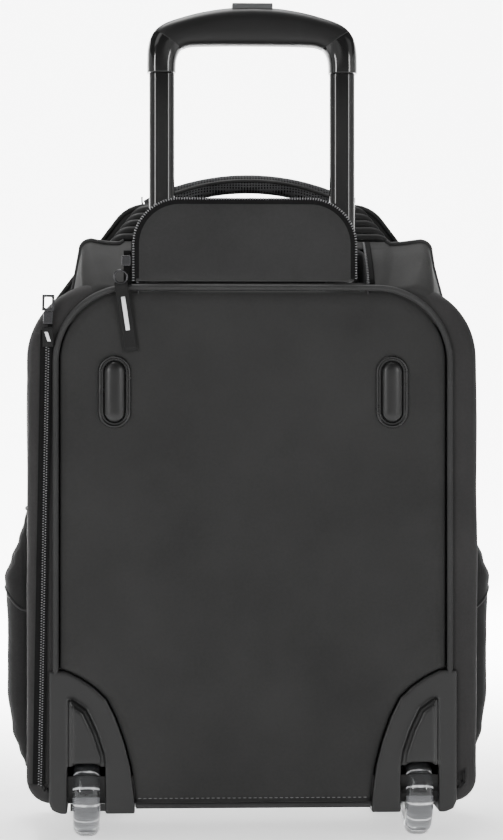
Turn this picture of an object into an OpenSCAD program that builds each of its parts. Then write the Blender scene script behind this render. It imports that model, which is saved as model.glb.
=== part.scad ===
// Rolling laptop case: a soft wheeled case on a stiff back board, with a
// two-stage telescopic handle, inline wheels in moulded corner guards, a zipped
// cover over the stowed grip and a side-entry laptop compartment.
// X runs across the case, depth runs from the back panel (negative Y) to the
// front pocket (positive Y), and Z is height above the floor.

/* [Case] */
// Width of the case body between its side walls
case_w = 362; // [320:1:420]
// Height above the floor of the back section's top edge
back_top = 445; // [410:1:520]
// Height of the ridge above the back section's top edge
shoulder_rise = 37; // [30:1:60]
// Height of the main compartment's top above the ridge
crown_rise = 30.5; // [24:0.5:50]
// Gap between the floor and the underside of the case
ground_gap = 24.5; // [22:0.5:30]
// Depth of the back section, which holds the handle tubes and the laptop
rear_d = 75; // [72:1:95]
// Depth of the main compartment
main_d = 90; // [76:1:130]
// Thickness of the lid that closes the main compartment
lid_t = 6; // [4:0.5:10]
// Depth of the front pocket
pocket_d = 52; // [30:1:70]
// Radius of the body's upper corners
corner_r = 60; // [45:1:75]
// Thickness of the padded fabric walls
wall = 2.5; // [2:0.1:4]

/* [Back panel] */
// Distance from the case's side to the panel's piping
panel_inset = 20.5; // [16:0.5:30]
// Radius of the panel's upper corners
panel_r = 62; // [40:1:75]
// Thickness of the padded panel
panel_t = 8.7; // [6:0.1:9]
// Width of the piping around the panel
piping_w = 5; // [3:0.5:7]
// Thickness of the stiff board behind the panel
board_t = 2.5; // [1.5:0.1:2.8]
// Distance from each bumper's centre to the middle of the case
bumper_x = 111; // [100:1:120]
// Height of the bumpers' centres
bumper_z = 358; // [300:1:370]
// Length of each bumper
bumper_len = 58; // [40:1:70]
// Width of each bumper
bumper_w = 26; // [18:1:30]

/* [Wheels] */
// Radius of the wheels
wheel_r = 32; // [28:0.5:36]
// Width of the tyres
wheel_w = 21.7; // [16:0.1:24]
// Distance from the case's side to the middle of the wheel
wheel_inset = 47.4; // [44:0.1:52]
// Depth of the axles, from the face of the back panel
wheel_d = 24; // [20:0.5:27]
// Width of the wheel wells
well_w = 30; // [27:0.5:32]
// Gap around the tyre in the wheel well
well_gap = 5; // [3:0.5:6]
// Radius of the hubs
hub_r = 20; // [17:0.5:22]
// Outer radius of the ball bearings
bearing_r = 11; // [10:0.5:12]
// Width of each ball bearing
bearing_w = 7; // [5:0.5:8]
// Radius of the axles
axle_r = 4; // [3:0.5:5]
// Depth of the moulded wheel guards
guard_d = 60; // [59:1:68]
// Thickness of the guards' moulded walls
guard_wall = 3; // [2:0.5:4]

/* [Telescopic handle] */
// Distance between the centres of the two tubes
tube_span = 146; // [130:1:152]
// Width of the innermost tubes
tube_w = 20.5; // [16:0.5:22]
// Depth of the innermost tubes
tube_t = 14; // [11:0.5:15]
// Wall thickness of every tube
tube_wall = 1.2; // [1:0.1:1.5]
// Space between one tube and the next
tube_gap = 1; // [0.8:0.1:1.4]
// Depth of the tubes' centres, from the face of the back panel
tube_d = 26; // [25.5:0.5:28]
// How far the grip stands above its stowed place
grip_raise = 165; // [60:1:175]
// Travel of the upper stage beyond that
upper_stroke = 180; // [60:1:180]
// Outer width of the grip
grip_w = 170; // [158:1:174]
// Depth of the grip
grip_t = 28; // [24:1:30]
// Height of the grip, from its legs to its crown
grip_h = 54.5; // [50:0.5:58]
// Width of the release button
button_w = 33; // [24:1:40]
// Travel of the release button
button_travel = 4; // [2:0.5:5]

/* [Cover and carry handle] */
// Width of the zipped cover flap
cover_w = 180; // [150:1:182]
// Height of the cover flap
cover_h = 66.5; // [50:0.5:80]
// Sideways offset of the cover flap, which hangs from its slider end
cover_shift = 7; // [0:0.5:7]
// Thickness of the cover flap
cover_t = 3.6; // [2:0.1:4]
// Span of the carry handle between its outer ends
carry_span = 174; // [140:1:176]
// Height of the carry handle's crown above its hinge line
carry_rise = 21.5; // [18:0.5:30]
// Thickness of the carry handle's padded strap
carry_t = 14; // [10:0.5:16]
// Breadth of the carry handle's padded strap
carry_w = 26; // [20:1:26]

/* [Side pockets and front pocket] */
// How far each side pocket bulges from the case
side_bulge = 23; // [14:0.5:30]
// Height of the side pockets' mouths
side_mouth_z = 262; // [200:1:280]
// Width of the front pocket
front_pocket_w = 320; // [240:1:330]
// Height of the front pocket's top
front_pocket_top = 400; // [300:1:405]

/* [Hidden] */
$fn = 48;

// clearances
slide_gap = 0.15;      // between parts that slide in each other
run_gap = 0.05;        // radial, between an axle and its bearing
part_gap = 0.3;        // between parts of different moving bodies
fit_gap = 0.2;         // between fixed parts that sit in each other

// overall places
half_w = case_w / 2;
tray_t = 3.5;
base_z = ground_gap + tray_t;
base_r = 20;
ridge_z = back_top + shoulder_rise;
main_top = ridge_z + crown_rise;
main_back = rear_d;
main_front = rear_d + main_d;
lid_back = main_front + 0.6;
lid_front = lid_back + lid_t;
pocket_front = lid_front + pocket_d;
slider_h = 3.4;
pull_t = 1.5;
depth_front = pocket_front + slider_h + pull_t + part_gap;
depth_back = wheel_d - wheel_r;
y_mid = (depth_front + depth_back) / 2;

// back panel
panel_half = half_w - panel_inset;
panel_top = back_top - 1;
panel_base_r = 8;
board_d0 = panel_t + part_gap;
board_d1 = board_d0 + board_t;
face_d = 3;            // the shell's rear face lies this far in front of the panel
edge_r = 10;           // rounding of the shell's rear edges
piping_back = -1;      // the piping's crown, behind the panel's face
piping_front = 5;
screw_hole_r = 2.1;
guard_screw_r = 2;
screw_head_r = 4;
screw_head_t = 2.4;
guard_screws_at = [[-71.5, 36], [-64, 66], [-52, 92]];   // from the guard's outer lower corner

// bumpers
ring_rim = 3;
ring_rise = 4;
pad_rise = 7.5;
pad_shoulder = 6;      // height at which the pad's crown starts
pad_bevel = 2;         // how far the crown is set in

// base tray and feet
tray_r = 24;
tray_side = 18;        // from the case's side to the tray's corners
tray_lip = 5;          // how far the tray runs ahead of the main compartment
foot_w = 40;
foot_side = 31;        // from the case's side to the foot's outer face
foot_back = 7;
foot_bevel = 2;

// wheels
wheel_x = half_w - wheel_inset;
guard_outer = 17.5;    // from the case's side to the guard's outer edge
guard_x = half_w - guard_outer;
guard_z = ground_gap - 3.5;
guard_h = 114;
guard_curve = [[-25, 108.5], [-36, 101], [-45.5, 92], [-53, 77], [-60, 57.5], [-65, 38], [-68, 16]];
guard_top_w = 14;
guard_foot_w = 69;
guard_corner = 9;      // the outer lower corner, cut back
flange_w = 12;
flange_z = 26;         // from the guard's foot to the flange
guard_back = -1;
flange_t = 2.4;
fairing_h = 7;         // how far the fairing stands off the guard
fairing_step = 0.6;    // share of that height with the full outline
fairing_bevel = 3;
fairing_top = 50;      // from the well's arch to the fairing's top
arch_z = 62;
arch_r = 11;
tread_r = 5;
hub_w = wheel_w - 0.6;
hub_hole_r = 2.6;
hub_holes = 6;
web_gap = 2.5;         // round the axle, inside the hub
spacer_r = 6;
head_r = 7;
head_t = 3;

// handle tubes, from the innermost outwards
mid_w = tube_w + 2 * (tube_gap + tube_wall);
mid_t = tube_t + 2 * (tube_gap + tube_wall);
out_w = mid_w + 2 * (tube_gap + tube_wall);
out_t = mid_t + 2 * (tube_gap + tube_wall);
bezel_half = min(92, guard_x - guard_foot_w - 2.5);      // the handle's foot fits between the guards
tube_x = min(tube_span / 2, bezel_half - out_w / 2 - 4);
bezel_z = back_top - 5;
bezel_t = 6;
foot_z = base_z + wall + fit_gap;
foot_h = 14;
foot_lip = 2;
bezel_lip = 3;
outer_z = foot_z + 5;
middle_z = outer_z + 6;
middle_top = bezel_z + bezel_t + part_gap;
collar_t = 3.2;
collar_lip = 0.7;
collar_skirt = 16;     // of the collar inside the middle tube
glide_h = 20;
leg_stow_z = middle_top + collar_t + 0.5;
leg_z = leg_stow_z + grip_raise;
crown_z = leg_z + grip_h;
block_h = 25;
block_plug = 15;       // of the block inside the inner tube
leg_socket = 20;       // of the inner tube inside the grip's leg
pin_rise = 13;         // from the inner tube block's foot to the lock pins
inner_z = middle_z + 4 + grip_raise;
leg_wall = 1.25;
bay_half = bezel_half;
bay_d = 45;
divider_d = tube_d + out_t / 2 + bezel_lip;
divider_t = 3;
divider_inset = 31;
divider_drop = 20;     // from the shell's top to the divider's
hoop_w = 3;
hoop_gap = 1.5;
hoop_inset = 3.5;

// shoulder between the panel's top edge and the ridge
shoulder_half = half_w - 36;
shoulder_r = 25;
shoulder_front = rear_d - 20;
shoulder_flat = rear_d - 12;
shoulder_drop = 4;     // rounding of the ridge

// grip
grip_half = min(grip_w / 2, tube_x + 12);
grip_corner = 22;
hump_flat = 17;        // half width of the crown's level middle
hump_half = min(40, grip_half - 25);        // half width of the raised middle
hump_fall = 4;         // from the crown to the raised middle's ends
crown_r = 4;
finger_r = 14;
finger_low = 9;        // from the legs' feet to the finger opening's upper corners' centres
bar_play = 0.4;
button_t = 16;
button_rise = 2.5;     // the button stands this far above the crown
lock_bar_t = 8;
screw_x = min(40, tube_x - 20);
screw_r = 1.6;
bar_z = crown_z - 19.5;
bar_h = 8;
bar_end = 3;           // of the lock bar beyond each tube's middle
rod_r = 1.5;
spring_room = 5;       // below the pressed lock bar
spring_r = 3.3;
spring_coils = 5;
spring_pocket_r = 5.5;
pin_r = 2.5;
pin_len = 9;
pin_travel = 2.5;
cover_split_z = crown_z - 17;

// cover flap and its zip
cover_z = back_top + 1.8;
cover_axis = [-3.2, cover_z - 0.3];
zip_band = 6;
cover_half = cover_w / 2;
cover_r = 38;
rim_tape_w = 4;
rim_tape_t = 1.4;
stub_w = 6.4;
stub_t = 1.2;
right_stub_h = 12;
stub_x = cover_half + cover_shift + 0.6;
stub_h = 24;
cover_slider_z = cover_z + 11.6;
cover_slider_w = 7.2;
cover_slider_len = 8;
cover_slider_back = -5.6;
ring_r = 5.2;
ring_wire = 0.9;
ring_d = -3.8;
ring_x = -stub_x - 8.5;
ring_z = cover_slider_z - ring_r - 3.7;
strap_w = 10.6;
strap_len = 53;
strap_t = 1.8;
strap_lean = 8.5;      // outward lean of the hanging strap, in degrees

// side flap: a tilted zip line near the left side, hinged at the front
flap_z0 = base_z + 16;
flap_z1 = back_top - 37;
zip_top_inset = 17;    // from the case's side to the zip line's upper end
zip_tilt = 1;          // lean of the zip line, in degrees
zip_top_z = flap_z1 + 9;
zip_end_h = 16;        // height of the tape's sewn upper end
slider_len = 10.4;
side_slider_w = 7.6;
puller_w = 10;
puller_len = 13;
puller_t = 1.6;
puller_frame = 2.2;
side_strap_w = 9;
side_strap_len = 15.6;
side_strap_t = 1.8;
side_strap_top = 7.4;  // from the slider's middle to the strap's upper end
flap_front = rear_d - wall - part_gap;
tape_w = 5;            // of the zip tape on the flap
fixed_tape_w = 3.4;    // of the zip tape beside the panel's piping
tape_t = 1.4;
side_slider_d = face_d - tape_t - part_gap - slider_h;
puller_d = side_slider_d - 0.9;

// main compartment
lid_z = 90;
main_corner_r = 30;
main_corner_x = half_w - 96;
pocket_z = 100;
side_pocket_d0 = rear_d + 9;
side_pocket_d1 = main_front - 9;
side_pocket_z = 50;
rib_count = 5;
rib_t = 3;
rib_r = 16;            // rounding of the ribs' upper corners
rib_zone = 17;         // depth that the ribs take up behind the main compartment
first_rib = 7;         // height of the lowest rib above the ridge
rib_flare = 36;        // of the lowest rib beyond the main top corners' centres
rib_narrow = 4.5;      // each rib is this much narrower at both ends than the one below
pocket_wall = 1.5;
mouth_w = 10;
bulge_low = [5, 26];   // the pocket's swell above its foot: inwards from the full swell, and height
bulge_full = 55;       // height above its foot at which the pocket has its full swell
mouth_fall = 50;       // from there the pocket leans back in to its mouth
pocket_foot = 9;
front_pocket_r = 40;
front_pocket_foot_r = 20;
paper_slot = [6, 16];  // depths of the slot behind the front pocket, from its back
slot_end = 45;         // from the pocket's side to the slot's end
hinge_h = 6;           // carry handle's hinge line above the main top
carry_d = rear_d + 25;
carry_z = main_top + hinge_h;
carry_half = min(carry_span / 2, main_corner_x + 2);   // the anchors stay on the level top
carry_end_w = 16;
eye_r = 3.5;
eye_len = 13;
wide_end = 43;         // from the handle's ends to its wide middle
anchor_w = 12;         // half the width of an anchor's base
anchor_t = 3;
anchor_base_t = 1.5;
lug_w = 5;             // half the width of the lug that holds the handle's end
main_slider_z = side_mouth_z + 38;
pocket_slider_z = front_pocket_top - 45;
slider_w = 10;
main_slider_len = 11;
pocket_slider_w = 11;
pocket_slider_len = 9;
pull_z = 5;            // from a slider's foot to the upper end of its tail
pull_len = 43;
pull_w = 8;

// ---------- helpers: outlines laid into the case's frame ----------

// an (x, z) outline made solid between two depths
module slab(d0, d1) {
    translate([0, d1 - y_mid, 0]) rotate([90, 0, 0]) linear_extrude(d1 - d0) children();
}

// a (depth, z) outline made solid between two places across the case
module rail(x0, x1) {
    translate([x0, -y_mid, 0]) rotate([90, 0, 90]) linear_extrude(x1 - x0) children();
}

// an (x, depth) outline made solid between two heights
module plan(z0, z1) {
    translate([0, -y_mid, z0]) linear_extrude(z1 - z0) children();
}

// a box given by its lowest and highest x, depth and height
module block(x0, x1, d0, d1, z0, z1) {
    translate([x0, d0 - y_mid, z0]) cube([x1 - x0, d1 - d0, z1 - z0]);
}

// a cylinder across the case
module cross_rod(x0, x1, d, z, r) {
    translate([x0, d - y_mid, z]) rotate([0, 90, 0]) cylinder(h = x1 - x0, r = r);
}

module both_sides() {
    children();
    mirror([1, 0, 0]) children();
}

module on_left() {
    mirror([1, 0, 0]) children();
}

module oval(w, t) {
    square([w - t, t], center = true);
    for (s = [-1, 1]) translate([s * (w - t) / 2, 0]) circle(t / 2);
}

module at_tubes(z0, z1) {
    for (s = [-1, 1]) plan(z0, z1) translate([s * tube_x, tube_d]) children();
}

// ---------- outlines ----------

module body_outline(inset) {
    hull() for (s = [-1, 1]) {
        translate([s * (half_w - corner_r), back_top - corner_r]) circle(corner_r - inset);
        translate([s * (half_w - base_r), base_z + base_r]) circle(max(base_r - inset, 1));
    }
}

module shoulder_outline(inset) {
    x = shoulder_half - shoulder_r;
    hull() for (s = [-1, 1]) {
        translate([s * x, ridge_z - shoulder_r]) circle(shoulder_r - inset);
        translate([s * x, back_top - corner_r]) circle(shoulder_r - inset);
    }
}

module main_outline(inset) {
    hull() for (s = [-1, 1]) {
        translate([s * (half_w - corner_r), back_top - corner_r]) circle(corner_r - inset);
        translate([s * (half_w - base_r), base_z + base_r]) circle(max(base_r - inset, 1));
        translate([s * main_corner_x, main_top - main_corner_r]) circle(main_corner_r - inset);
    }
}

module panel_outline(inset) {
    hull() for (s = [-1, 1]) {
        translate([s * (panel_half - panel_r), panel_top - panel_r]) circle(panel_r - inset);
        translate([s * (panel_half - panel_base_r), ground_gap + panel_base_r])
            circle(panel_base_r - min(inset, panel_base_r - 1));
    }
}

// the right guard: straight outer edge, sweeping inner edge
module guard_outline(grow) {
    cut = guard_corner * (1 - sqrt(0.5));
    offset(delta = grow) translate([guard_x, guard_z]) polygon(concat(
        [[0, guard_corner], [0, guard_h], [-guard_top_w, guard_h]], guard_curve,
        [[-guard_foot_w, 0], [-guard_corner, 0], [-cut, cut]]
    ));
}

module fairing_outline(inset) {
    foot = -3;
    offset(delta = -inset) translate([wheel_x, arch_z]) polygon([
        [14, foot], [14, fairing_top], [11, fairing_top], [0, fairing_top - 8],
        [-8, fairing_top / 2], [-14, 7], [-15, foot]
    ]);
}

module stadium(w, h) {
    square([w, h - w], center = true);
    for (s = [-1, 1]) translate([0, s * (h - w) / 2]) circle(w / 2);
}

module cover_outline(inset) {
    x = cover_half - cover_r;
    intersection() {
        translate([-cover_shift, 0]) hull() for (s = [-1, 1]) {
            translate([s * x, cover_z + cover_h - cover_r]) circle(cover_r - inset);
            translate([s * x, cover_z]) circle(cover_r - inset);
        }
        translate([-cover_half - cover_shift, cover_z]) square([cover_w, cover_h]);
    }
}

module grip_outline() {
    hull() {
        for (s = [-1, 1]) {
            translate([s * (grip_half - grip_corner), leg_z + grip_corner]) circle(grip_corner);
            translate([s * hump_flat, crown_z - crown_r]) circle(crown_r);
            translate([s * hump_half, crown_z - hump_fall - crown_r]) circle(crown_r);
        }
        translate([-grip_half, leg_z]) square([2 * grip_half, 1]);
    }
}

module finger_outline() {
    finger_half = tube_x - tube_w / 2 - leg_wall;
    hull() {
        for (s = [-1, 1]) translate([s * (finger_half - finger_r), leg_z + finger_low])
            circle(finger_r);
        translate([-finger_half, leg_z - 2]) square([2 * finger_half, 1]);
    }
}

// ---------- back board, panel and bumpers ----------

module without_guards() {
    difference() {
        children();
        both_sides() slab(-guard_d, guard_d + part_gap) guard_outline(fit_gap);
    }
}

module guard_screw_places() {
    for (p = guard_screws_at) translate([guard_x + p[0], guard_z + p[1]]) children();
}

module back_board() {
    color("dimgray") difference() {
        without_guards() slab(board_d0, board_d1) panel_outline(piping_w);
        both_sides() slab(board_d0 - 1, board_d1 + 1) guard_screw_places() circle(screw_hole_r);
    }
}

module back_panel() {
    color([0.2, 0.2, 0.21]) without_guards() slab(0, panel_t) panel_outline(piping_w);
}

module back_piping() {
    color([0.22, 0.22, 0.23]) without_guards() slab(piping_back, piping_front) difference() {
        panel_outline(0);
        panel_outline(piping_w);
    }
}

module bumper_rings() {
    color([0.12, 0.12, 0.13]) for (s = [-1, 1])
        slab(-ring_rise, 0) translate([s * bumper_x, bumper_z]) difference() {
            stadium(bumper_w, bumper_len);
            stadium(bumper_w - 2 * ring_rim, bumper_len - 2 * ring_rim);
        }
}

module bumper_pads() {
    rim = 2 * (ring_rim + fit_gap / 2);
    crown = 2 * (ring_rim + pad_bevel);
    color([0.18, 0.18, 0.19]) for (s = [-1, 1]) translate([s * bumper_x, 0, bumper_z]) {
        slab(-pad_shoulder, 0) stadium(bumper_w - rim, bumper_len - rim);
        slab(-pad_rise, -pad_shoulder) stadium(bumper_w - crown, bumper_len - crown);
    }
}

// ---------- base tray and feet ----------

module base_tray() {
    r = 2;
    color([0.15, 0.15, 0.15]) without_guards() plan(ground_gap, base_z) hull() for (s = [-1, 1]) {
        translate([s * (half_w - tray_side - tray_r), main_front + tray_lip - tray_r]) circle(tray_r);
        translate([s * (half_w - tray_side - r), board_d1 + 2 * r]) circle(r);
    }
}

module front_feet() {
    x = half_w - foot_side;
    toe = main_front + tray_lip;
    color([0.1, 0.1, 0.1]) both_sides() rail(x - foot_w, x) polygon([
        [main_front - foot_back, ground_gap], [toe, ground_gap], [toe, foot_bevel],
        [toe - foot_bevel, 0], [main_front - 1, 0]
    ]);
}

// ---------- wheel guards, axles and wheels ----------

module well_shape(grow) {
    r = wheel_r + well_gap + grow;
    half = well_w / 2 + grow;
    cross_rod(wheel_x - half, wheel_x + half, wheel_d, wheel_r, r);
    block(wheel_x - half, wheel_x + half, wheel_d - r, wheel_d + r, guard_z - 1, wheel_r);
    slab(-wheel_d, wheel_d) hull() {
        for (s = [-1, 1]) translate([wheel_x + s * (half - arch_r), arch_z + grow - arch_r])
            circle(arch_r);
        translate([wheel_x - half, guard_z - 1]) square([2 * half, 1]);
    }
}

module wheel_guard() {
    boss_half = well_w / 2 + guard_wall;
    color([0.13, 0.13, 0.14]) difference() {
        union() {
            difference() {
                slab(guard_back, guard_d) guard_outline(0);
                difference() {
                    slab(guard_back + guard_wall, guard_d + 1) guard_outline(-guard_wall);
                    well_shape(guard_wall);
                }
            }
            slab(guard_back - fairing_h * fairing_step, guard_back) fairing_outline(0);
            slab(guard_back - fairing_h, guard_back - fairing_h * fairing_step)
                fairing_outline(fairing_bevel);
            slab(board_d1 + part_gap, board_d1 + part_gap + flange_t) difference() {
                intersection() {
                    guard_outline(flange_w);
                    translate([0, guard_z + flange_z]) square([guard_x - guard_top_w, guard_h]);
                }
                guard_outline(-fit_gap / 2);
            }
        }
        well_shape(0);
        cross_rod(wheel_x - boss_half - 1, wheel_x + boss_half + 1, wheel_d, wheel_r, axle_r);
        slab(board_d1, board_d1 + 2 * flange_t) guard_screw_places() circle(screw_hole_r);
    }
}

module wheel_guard_right() { wheel_guard(); }
module wheel_guard_left() { on_left() wheel_guard(); }

module guard_screws() {
    head_d = board_d1 + part_gap + flange_t;
    color("silver") both_sides() {
        slab(board_d0, head_d) guard_screw_places() circle(guard_screw_r);
        slab(head_d, head_d + screw_head_t) guard_screw_places() circle(screw_head_r);
    }
}

module axle() {
    boss_half = well_w / 2 + guard_wall;
    spacer = (well_w - wheel_w) / 2 - fit_gap;
    color("silver") {
        cross_rod(wheel_x - boss_half, wheel_x + boss_half, wheel_d, wheel_r, axle_r);
        for (s = [-1, 1]) {
            cross_rod(wheel_x + s * boss_half + (s < 0 ? -head_t : 0),
                      wheel_x + s * boss_half + (s < 0 ? 0 : head_t), wheel_d, wheel_r, head_r);
            cross_rod(wheel_x + s * well_w / 2 - (s < 0 ? 0 : spacer),
                      wheel_x + s * well_w / 2 + (s < 0 ? spacer : 0), wheel_d, wheel_r, spacer_r);
        }
    }
}

module axle_right() { axle(); }
module axle_left() { on_left() axle(); }

module at_wheel() {
    translate([wheel_x, wheel_d - y_mid, wheel_r]) rotate([0, 90, 0]) children();
}

module tyre() {
    color([0.85, 0.86, 0.88, 0.6]) at_wheel() rotate_extrude($fn = 96) hull() {
        for (s = [-1, 1]) translate([wheel_r - tread_r, s * (wheel_w / 2 - tread_r)])
            circle(tread_r, $fn = 24);
        translate([hub_r, -wheel_w / 2]) square([1, wheel_w]);
    }
}

module tyre_right() { tyre(); }
module tyre_left() { on_left() tyre(); }

module hub() {
    web_r = axle_r + web_gap;
    color([0.75, 0.76, 0.78]) at_wheel() difference() {
        cylinder(h = hub_w, r = hub_r, center = true);
        cylinder(h = hub_w + 1, r = web_r, center = true);
        for (s = [-1, 1]) translate([0, 0, s * (hub_w - bearing_w) / 2])
            cylinder(h = bearing_w + 0.02, r = bearing_r, center = true);
        for (i = [1:hub_holes]) rotate([0, 0, i * 360 / hub_holes])
            translate([(hub_r + bearing_r) / 2, 0, 0])
                cylinder(h = hub_w + 1, r = hub_hole_r, center = true);
    }
}

module hub_right() { hub(); }
module hub_left() { on_left() hub(); }

module bearings() {
    color("silver") at_wheel() for (s = [-1, 1]) translate([0, 0, s * (hub_w - bearing_w) / 2])
        difference() {
            cylinder(h = bearing_w, r = bearing_r, center = true);
            cylinder(h = bearing_w + 1, r = axle_r + run_gap, center = true);
        }
}

module bearings_right() { bearings(); }
module bearings_left() { on_left() bearings(); }

// ---------- telescopic handle ----------

module tube_shape(w, t) {
    difference() {
        oval(w, t);
        oval(w - 2 * tube_wall, t - 2 * tube_wall);
    }
}

module outer_tubes() {
    color([0.35, 0.36, 0.38]) at_tubes(outer_z, bezel_z) tube_shape(out_w, out_t);
}

module handle_foot() {
    color([0.12, 0.12, 0.12]) difference() {
        block(-bezel_half, bezel_half, tube_d - out_t / 2 - foot_lip,
              tube_d + out_t / 2 + foot_lip, foot_z, foot_z + foot_h);
        at_tubes(outer_z, foot_z + foot_h + 1) oval(out_w, out_t);
    }
}

module handle_bezel() {
    color([0.1, 0.1, 0.1]) difference() {
        block(-bezel_half + part_gap, bezel_half - part_gap, tube_d - out_t / 2 - bezel_lip / 2,
              tube_d + out_t / 2 + bezel_lip, bezel_z, bezel_z + bezel_t);
        at_tubes(bezel_z - 1, bezel_z + bezel_t + 1)
            oval(mid_w + 2 * slide_gap, mid_t + 2 * slide_gap);
    }
}

module middle_tubes() {
    color([0.3, 0.31, 0.33]) at_tubes(middle_z, middle_top) tube_shape(mid_w, mid_t);
}

module middle_collars() {
    bore_w = tube_w + 2 * slide_gap;
    bore_t = tube_t + 2 * slide_gap;
    skin = 2 * (tube_wall + slide_gap);
    color([0.1, 0.1, 0.1]) {
        at_tubes(middle_top, middle_top + collar_t) difference() {
            oval(mid_w + 2 * collar_lip, mid_t + 2 * collar_lip);
            oval(bore_w, bore_t);
        }
        at_tubes(middle_top - collar_skirt, middle_top) difference() {
            oval(mid_w - 2 * tube_wall, mid_t - 2 * tube_wall);
            oval(bore_w, bore_t);
        }
        at_tubes(middle_z, middle_z + glide_h) difference() {
            oval(out_w - skin, out_t - skin);
            oval(mid_w, mid_t);
        }
    }
}

module inner_tubes() {
    color([0.05, 0.05, 0.06]) at_tubes(inner_z + block_h, leg_z + leg_socket) tube_shape(tube_w, tube_t);
}

module inner_glides() {
    skin = 2 * (tube_wall + slide_gap);
    pin_z = inner_z + pin_rise;
    plug_z = inner_z + block_h + block_plug;
    color([0.15, 0.15, 0.15]) difference() {
        union() {
            at_tubes(inner_z, inner_z + block_h) oval(mid_w - skin, mid_t - skin);
            at_tubes(inner_z + block_h, plug_z)
                oval(tube_w - 2 * tube_wall, tube_t - 2 * tube_wall);
        }
        at_tubes(pin_z, plug_z + 1) circle(rod_r + part_gap);
        both_sides() cross_rod(tube_x - bar_end, tube_x + mid_w, tube_d, pin_z, pin_r + run_gap);
    }
}

module grip_body() {
    slab(tube_d - grip_t / 2, tube_d + grip_t / 2) difference() {
        grip_outline();
        finger_outline();
    }
}

// the room inside the grip for the lock bar, its rods and the button
module grip_channel() {
    bar_x = tube_x + bar_end + 2;
    block(-bar_x, bar_x, tube_d - lock_bar_t / 2 - bar_play, tube_d + lock_bar_t / 2 + bar_play,
          bar_z - button_travel - bar_play, bar_z + bar_h + bar_play);
    at_tubes(leg_z + leg_socket - 1, bar_z) circle(rod_r + 1);
    block(-button_w / 2 - bar_play, button_w / 2 + bar_play, tube_d - button_t / 2 - bar_play,
          tube_d + button_t / 2 + bar_play, bar_z + bar_h - button_travel - 1, crown_z + 1);
}

module grip_frame() {
    color([0.05, 0.05, 0.06]) difference() {
        intersection() {
            grip_body();
            slab(0, rear_d) translate([-grip_half, leg_z - 1])
                square([2 * grip_half, cover_split_z - leg_z + 1]);
        }
        grip_channel();
        at_tubes(leg_z - 1, leg_z + leg_socket) oval(tube_w, tube_t);
        translate([0, tube_d - y_mid, bar_z - button_travel - spring_room])
            cylinder(h = spring_room + 1, r = spring_pocket_r);
        for (s = [-1, 1]) translate([s * screw_x, tube_d - y_mid, leg_z])
            cylinder(h = grip_h, r = screw_r);
    }
}

module grip_cover() {
    color([0.17, 0.17, 0.18]) difference() {
        intersection() {
            grip_body();
            slab(0, rear_d) translate([-grip_half, cover_split_z]) square([2 * grip_half, grip_h]);
        }
        grip_channel();
        for (s = [-1, 1]) translate([s * screw_x, tube_d - y_mid, leg_z])
            cylinder(h = cover_split_z - leg_z + 5, r = screw_r);
    }
}

module grip_screws() {
    screw_z = leg_z + leg_socket + bar_end;
    color("silver") for (s = [-1, 1]) translate([s * screw_x, tube_d - y_mid, 0]) {
        translate([0, 0, screw_z]) cylinder(h = bar_z - button_travel - screw_z - 1, r = screw_r);
    }
}

module button_spring() {
    length = button_travel + spring_room - fit_gap;
    wire_r = length / spring_coils / 2;
    foot = bar_z - button_travel - spring_room + fit_gap / 2;
    color("silver") translate([0, tube_d - y_mid, foot + wire_r])
        for (i = [0:spring_coils - 1]) translate([0, 0, i * 2 * wire_r])
            rotate_extrude() translate([spring_r, 0]) circle(wire_r, $fn = 16);
}

module release_button() {
    color([0.35, 0.35, 0.36]) block(-button_w / 2, button_w / 2,
                                     tube_d - button_t / 2, tube_d + button_t / 2,
                                     bar_z + bar_h, crown_z + button_rise);
}

module lock_rods() {
    color("silver") {
        block(-tube_x - bar_end, tube_x + bar_end, tube_d - lock_bar_t / 2,
              tube_d + lock_bar_t / 2, bar_z, bar_z + bar_h);
        at_tubes(inner_z + pin_rise + pin_r + button_travel + rod_r, bar_z) circle(rod_r);
    }
}

module lock_pin() {
    face_x = tube_x + mid_w / 2 - tube_wall - slide_gap;
    color("silver") cross_rod(face_x - pin_len, face_x - part_gap, tube_d, inner_z + pin_rise,
                              pin_r);
}

module lock_pin_right() { lock_pin(); }
module lock_pin_left() { on_left() lock_pin(); }

// ---------- back section ----------

module rear_solid(inset) {
    intersection() {
        slab(face_d + inset, rear_d - inset) body_outline(inset);
        plan(0, back_top + 10) translate([0, inset]) hull() for (s = [-1, 1]) {
            translate([s * (half_w - edge_r - inset), face_d + edge_r]) circle(edge_r);
            translate([s * (half_w - edge_r - inset), rear_d]) square([2 * edge_r, 2], center = true);
        }
    }
    intersection() {
        slab(face_d + inset, rear_d - inset) shoulder_outline(inset);
        rail(-half_w, half_w) offset(delta = -inset) polygon([
            [face_d + 2, back_top - 50], [face_d + 2, back_top],
            [shoulder_front, ridge_z - shoulder_drop], [shoulder_flat, ridge_z + inset],
            [rear_d + 5, ridge_z + inset], [rear_d + 5, back_top - 50]
        ]);
    }
}

// the half space outside the tilted zip line, as a deep block
module beyond_zip(gap) {
    translate([-(half_w - zip_top_inset), 0, zip_top_z]) rotate([0, zip_tilt, 0])
        translate([-60 - gap, -y_mid - 10, -case_w * 2]) cube([60, rear_d + 20, case_w * 3]);
}

module flap_zone(gap) {
    intersection() {
        beyond_zip(gap);
        block(-half_w - 5, -half_w + 60, -5, flap_front + part_gap - gap,
              flap_z0 + gap, flap_z1 - gap);
    }
}

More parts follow.
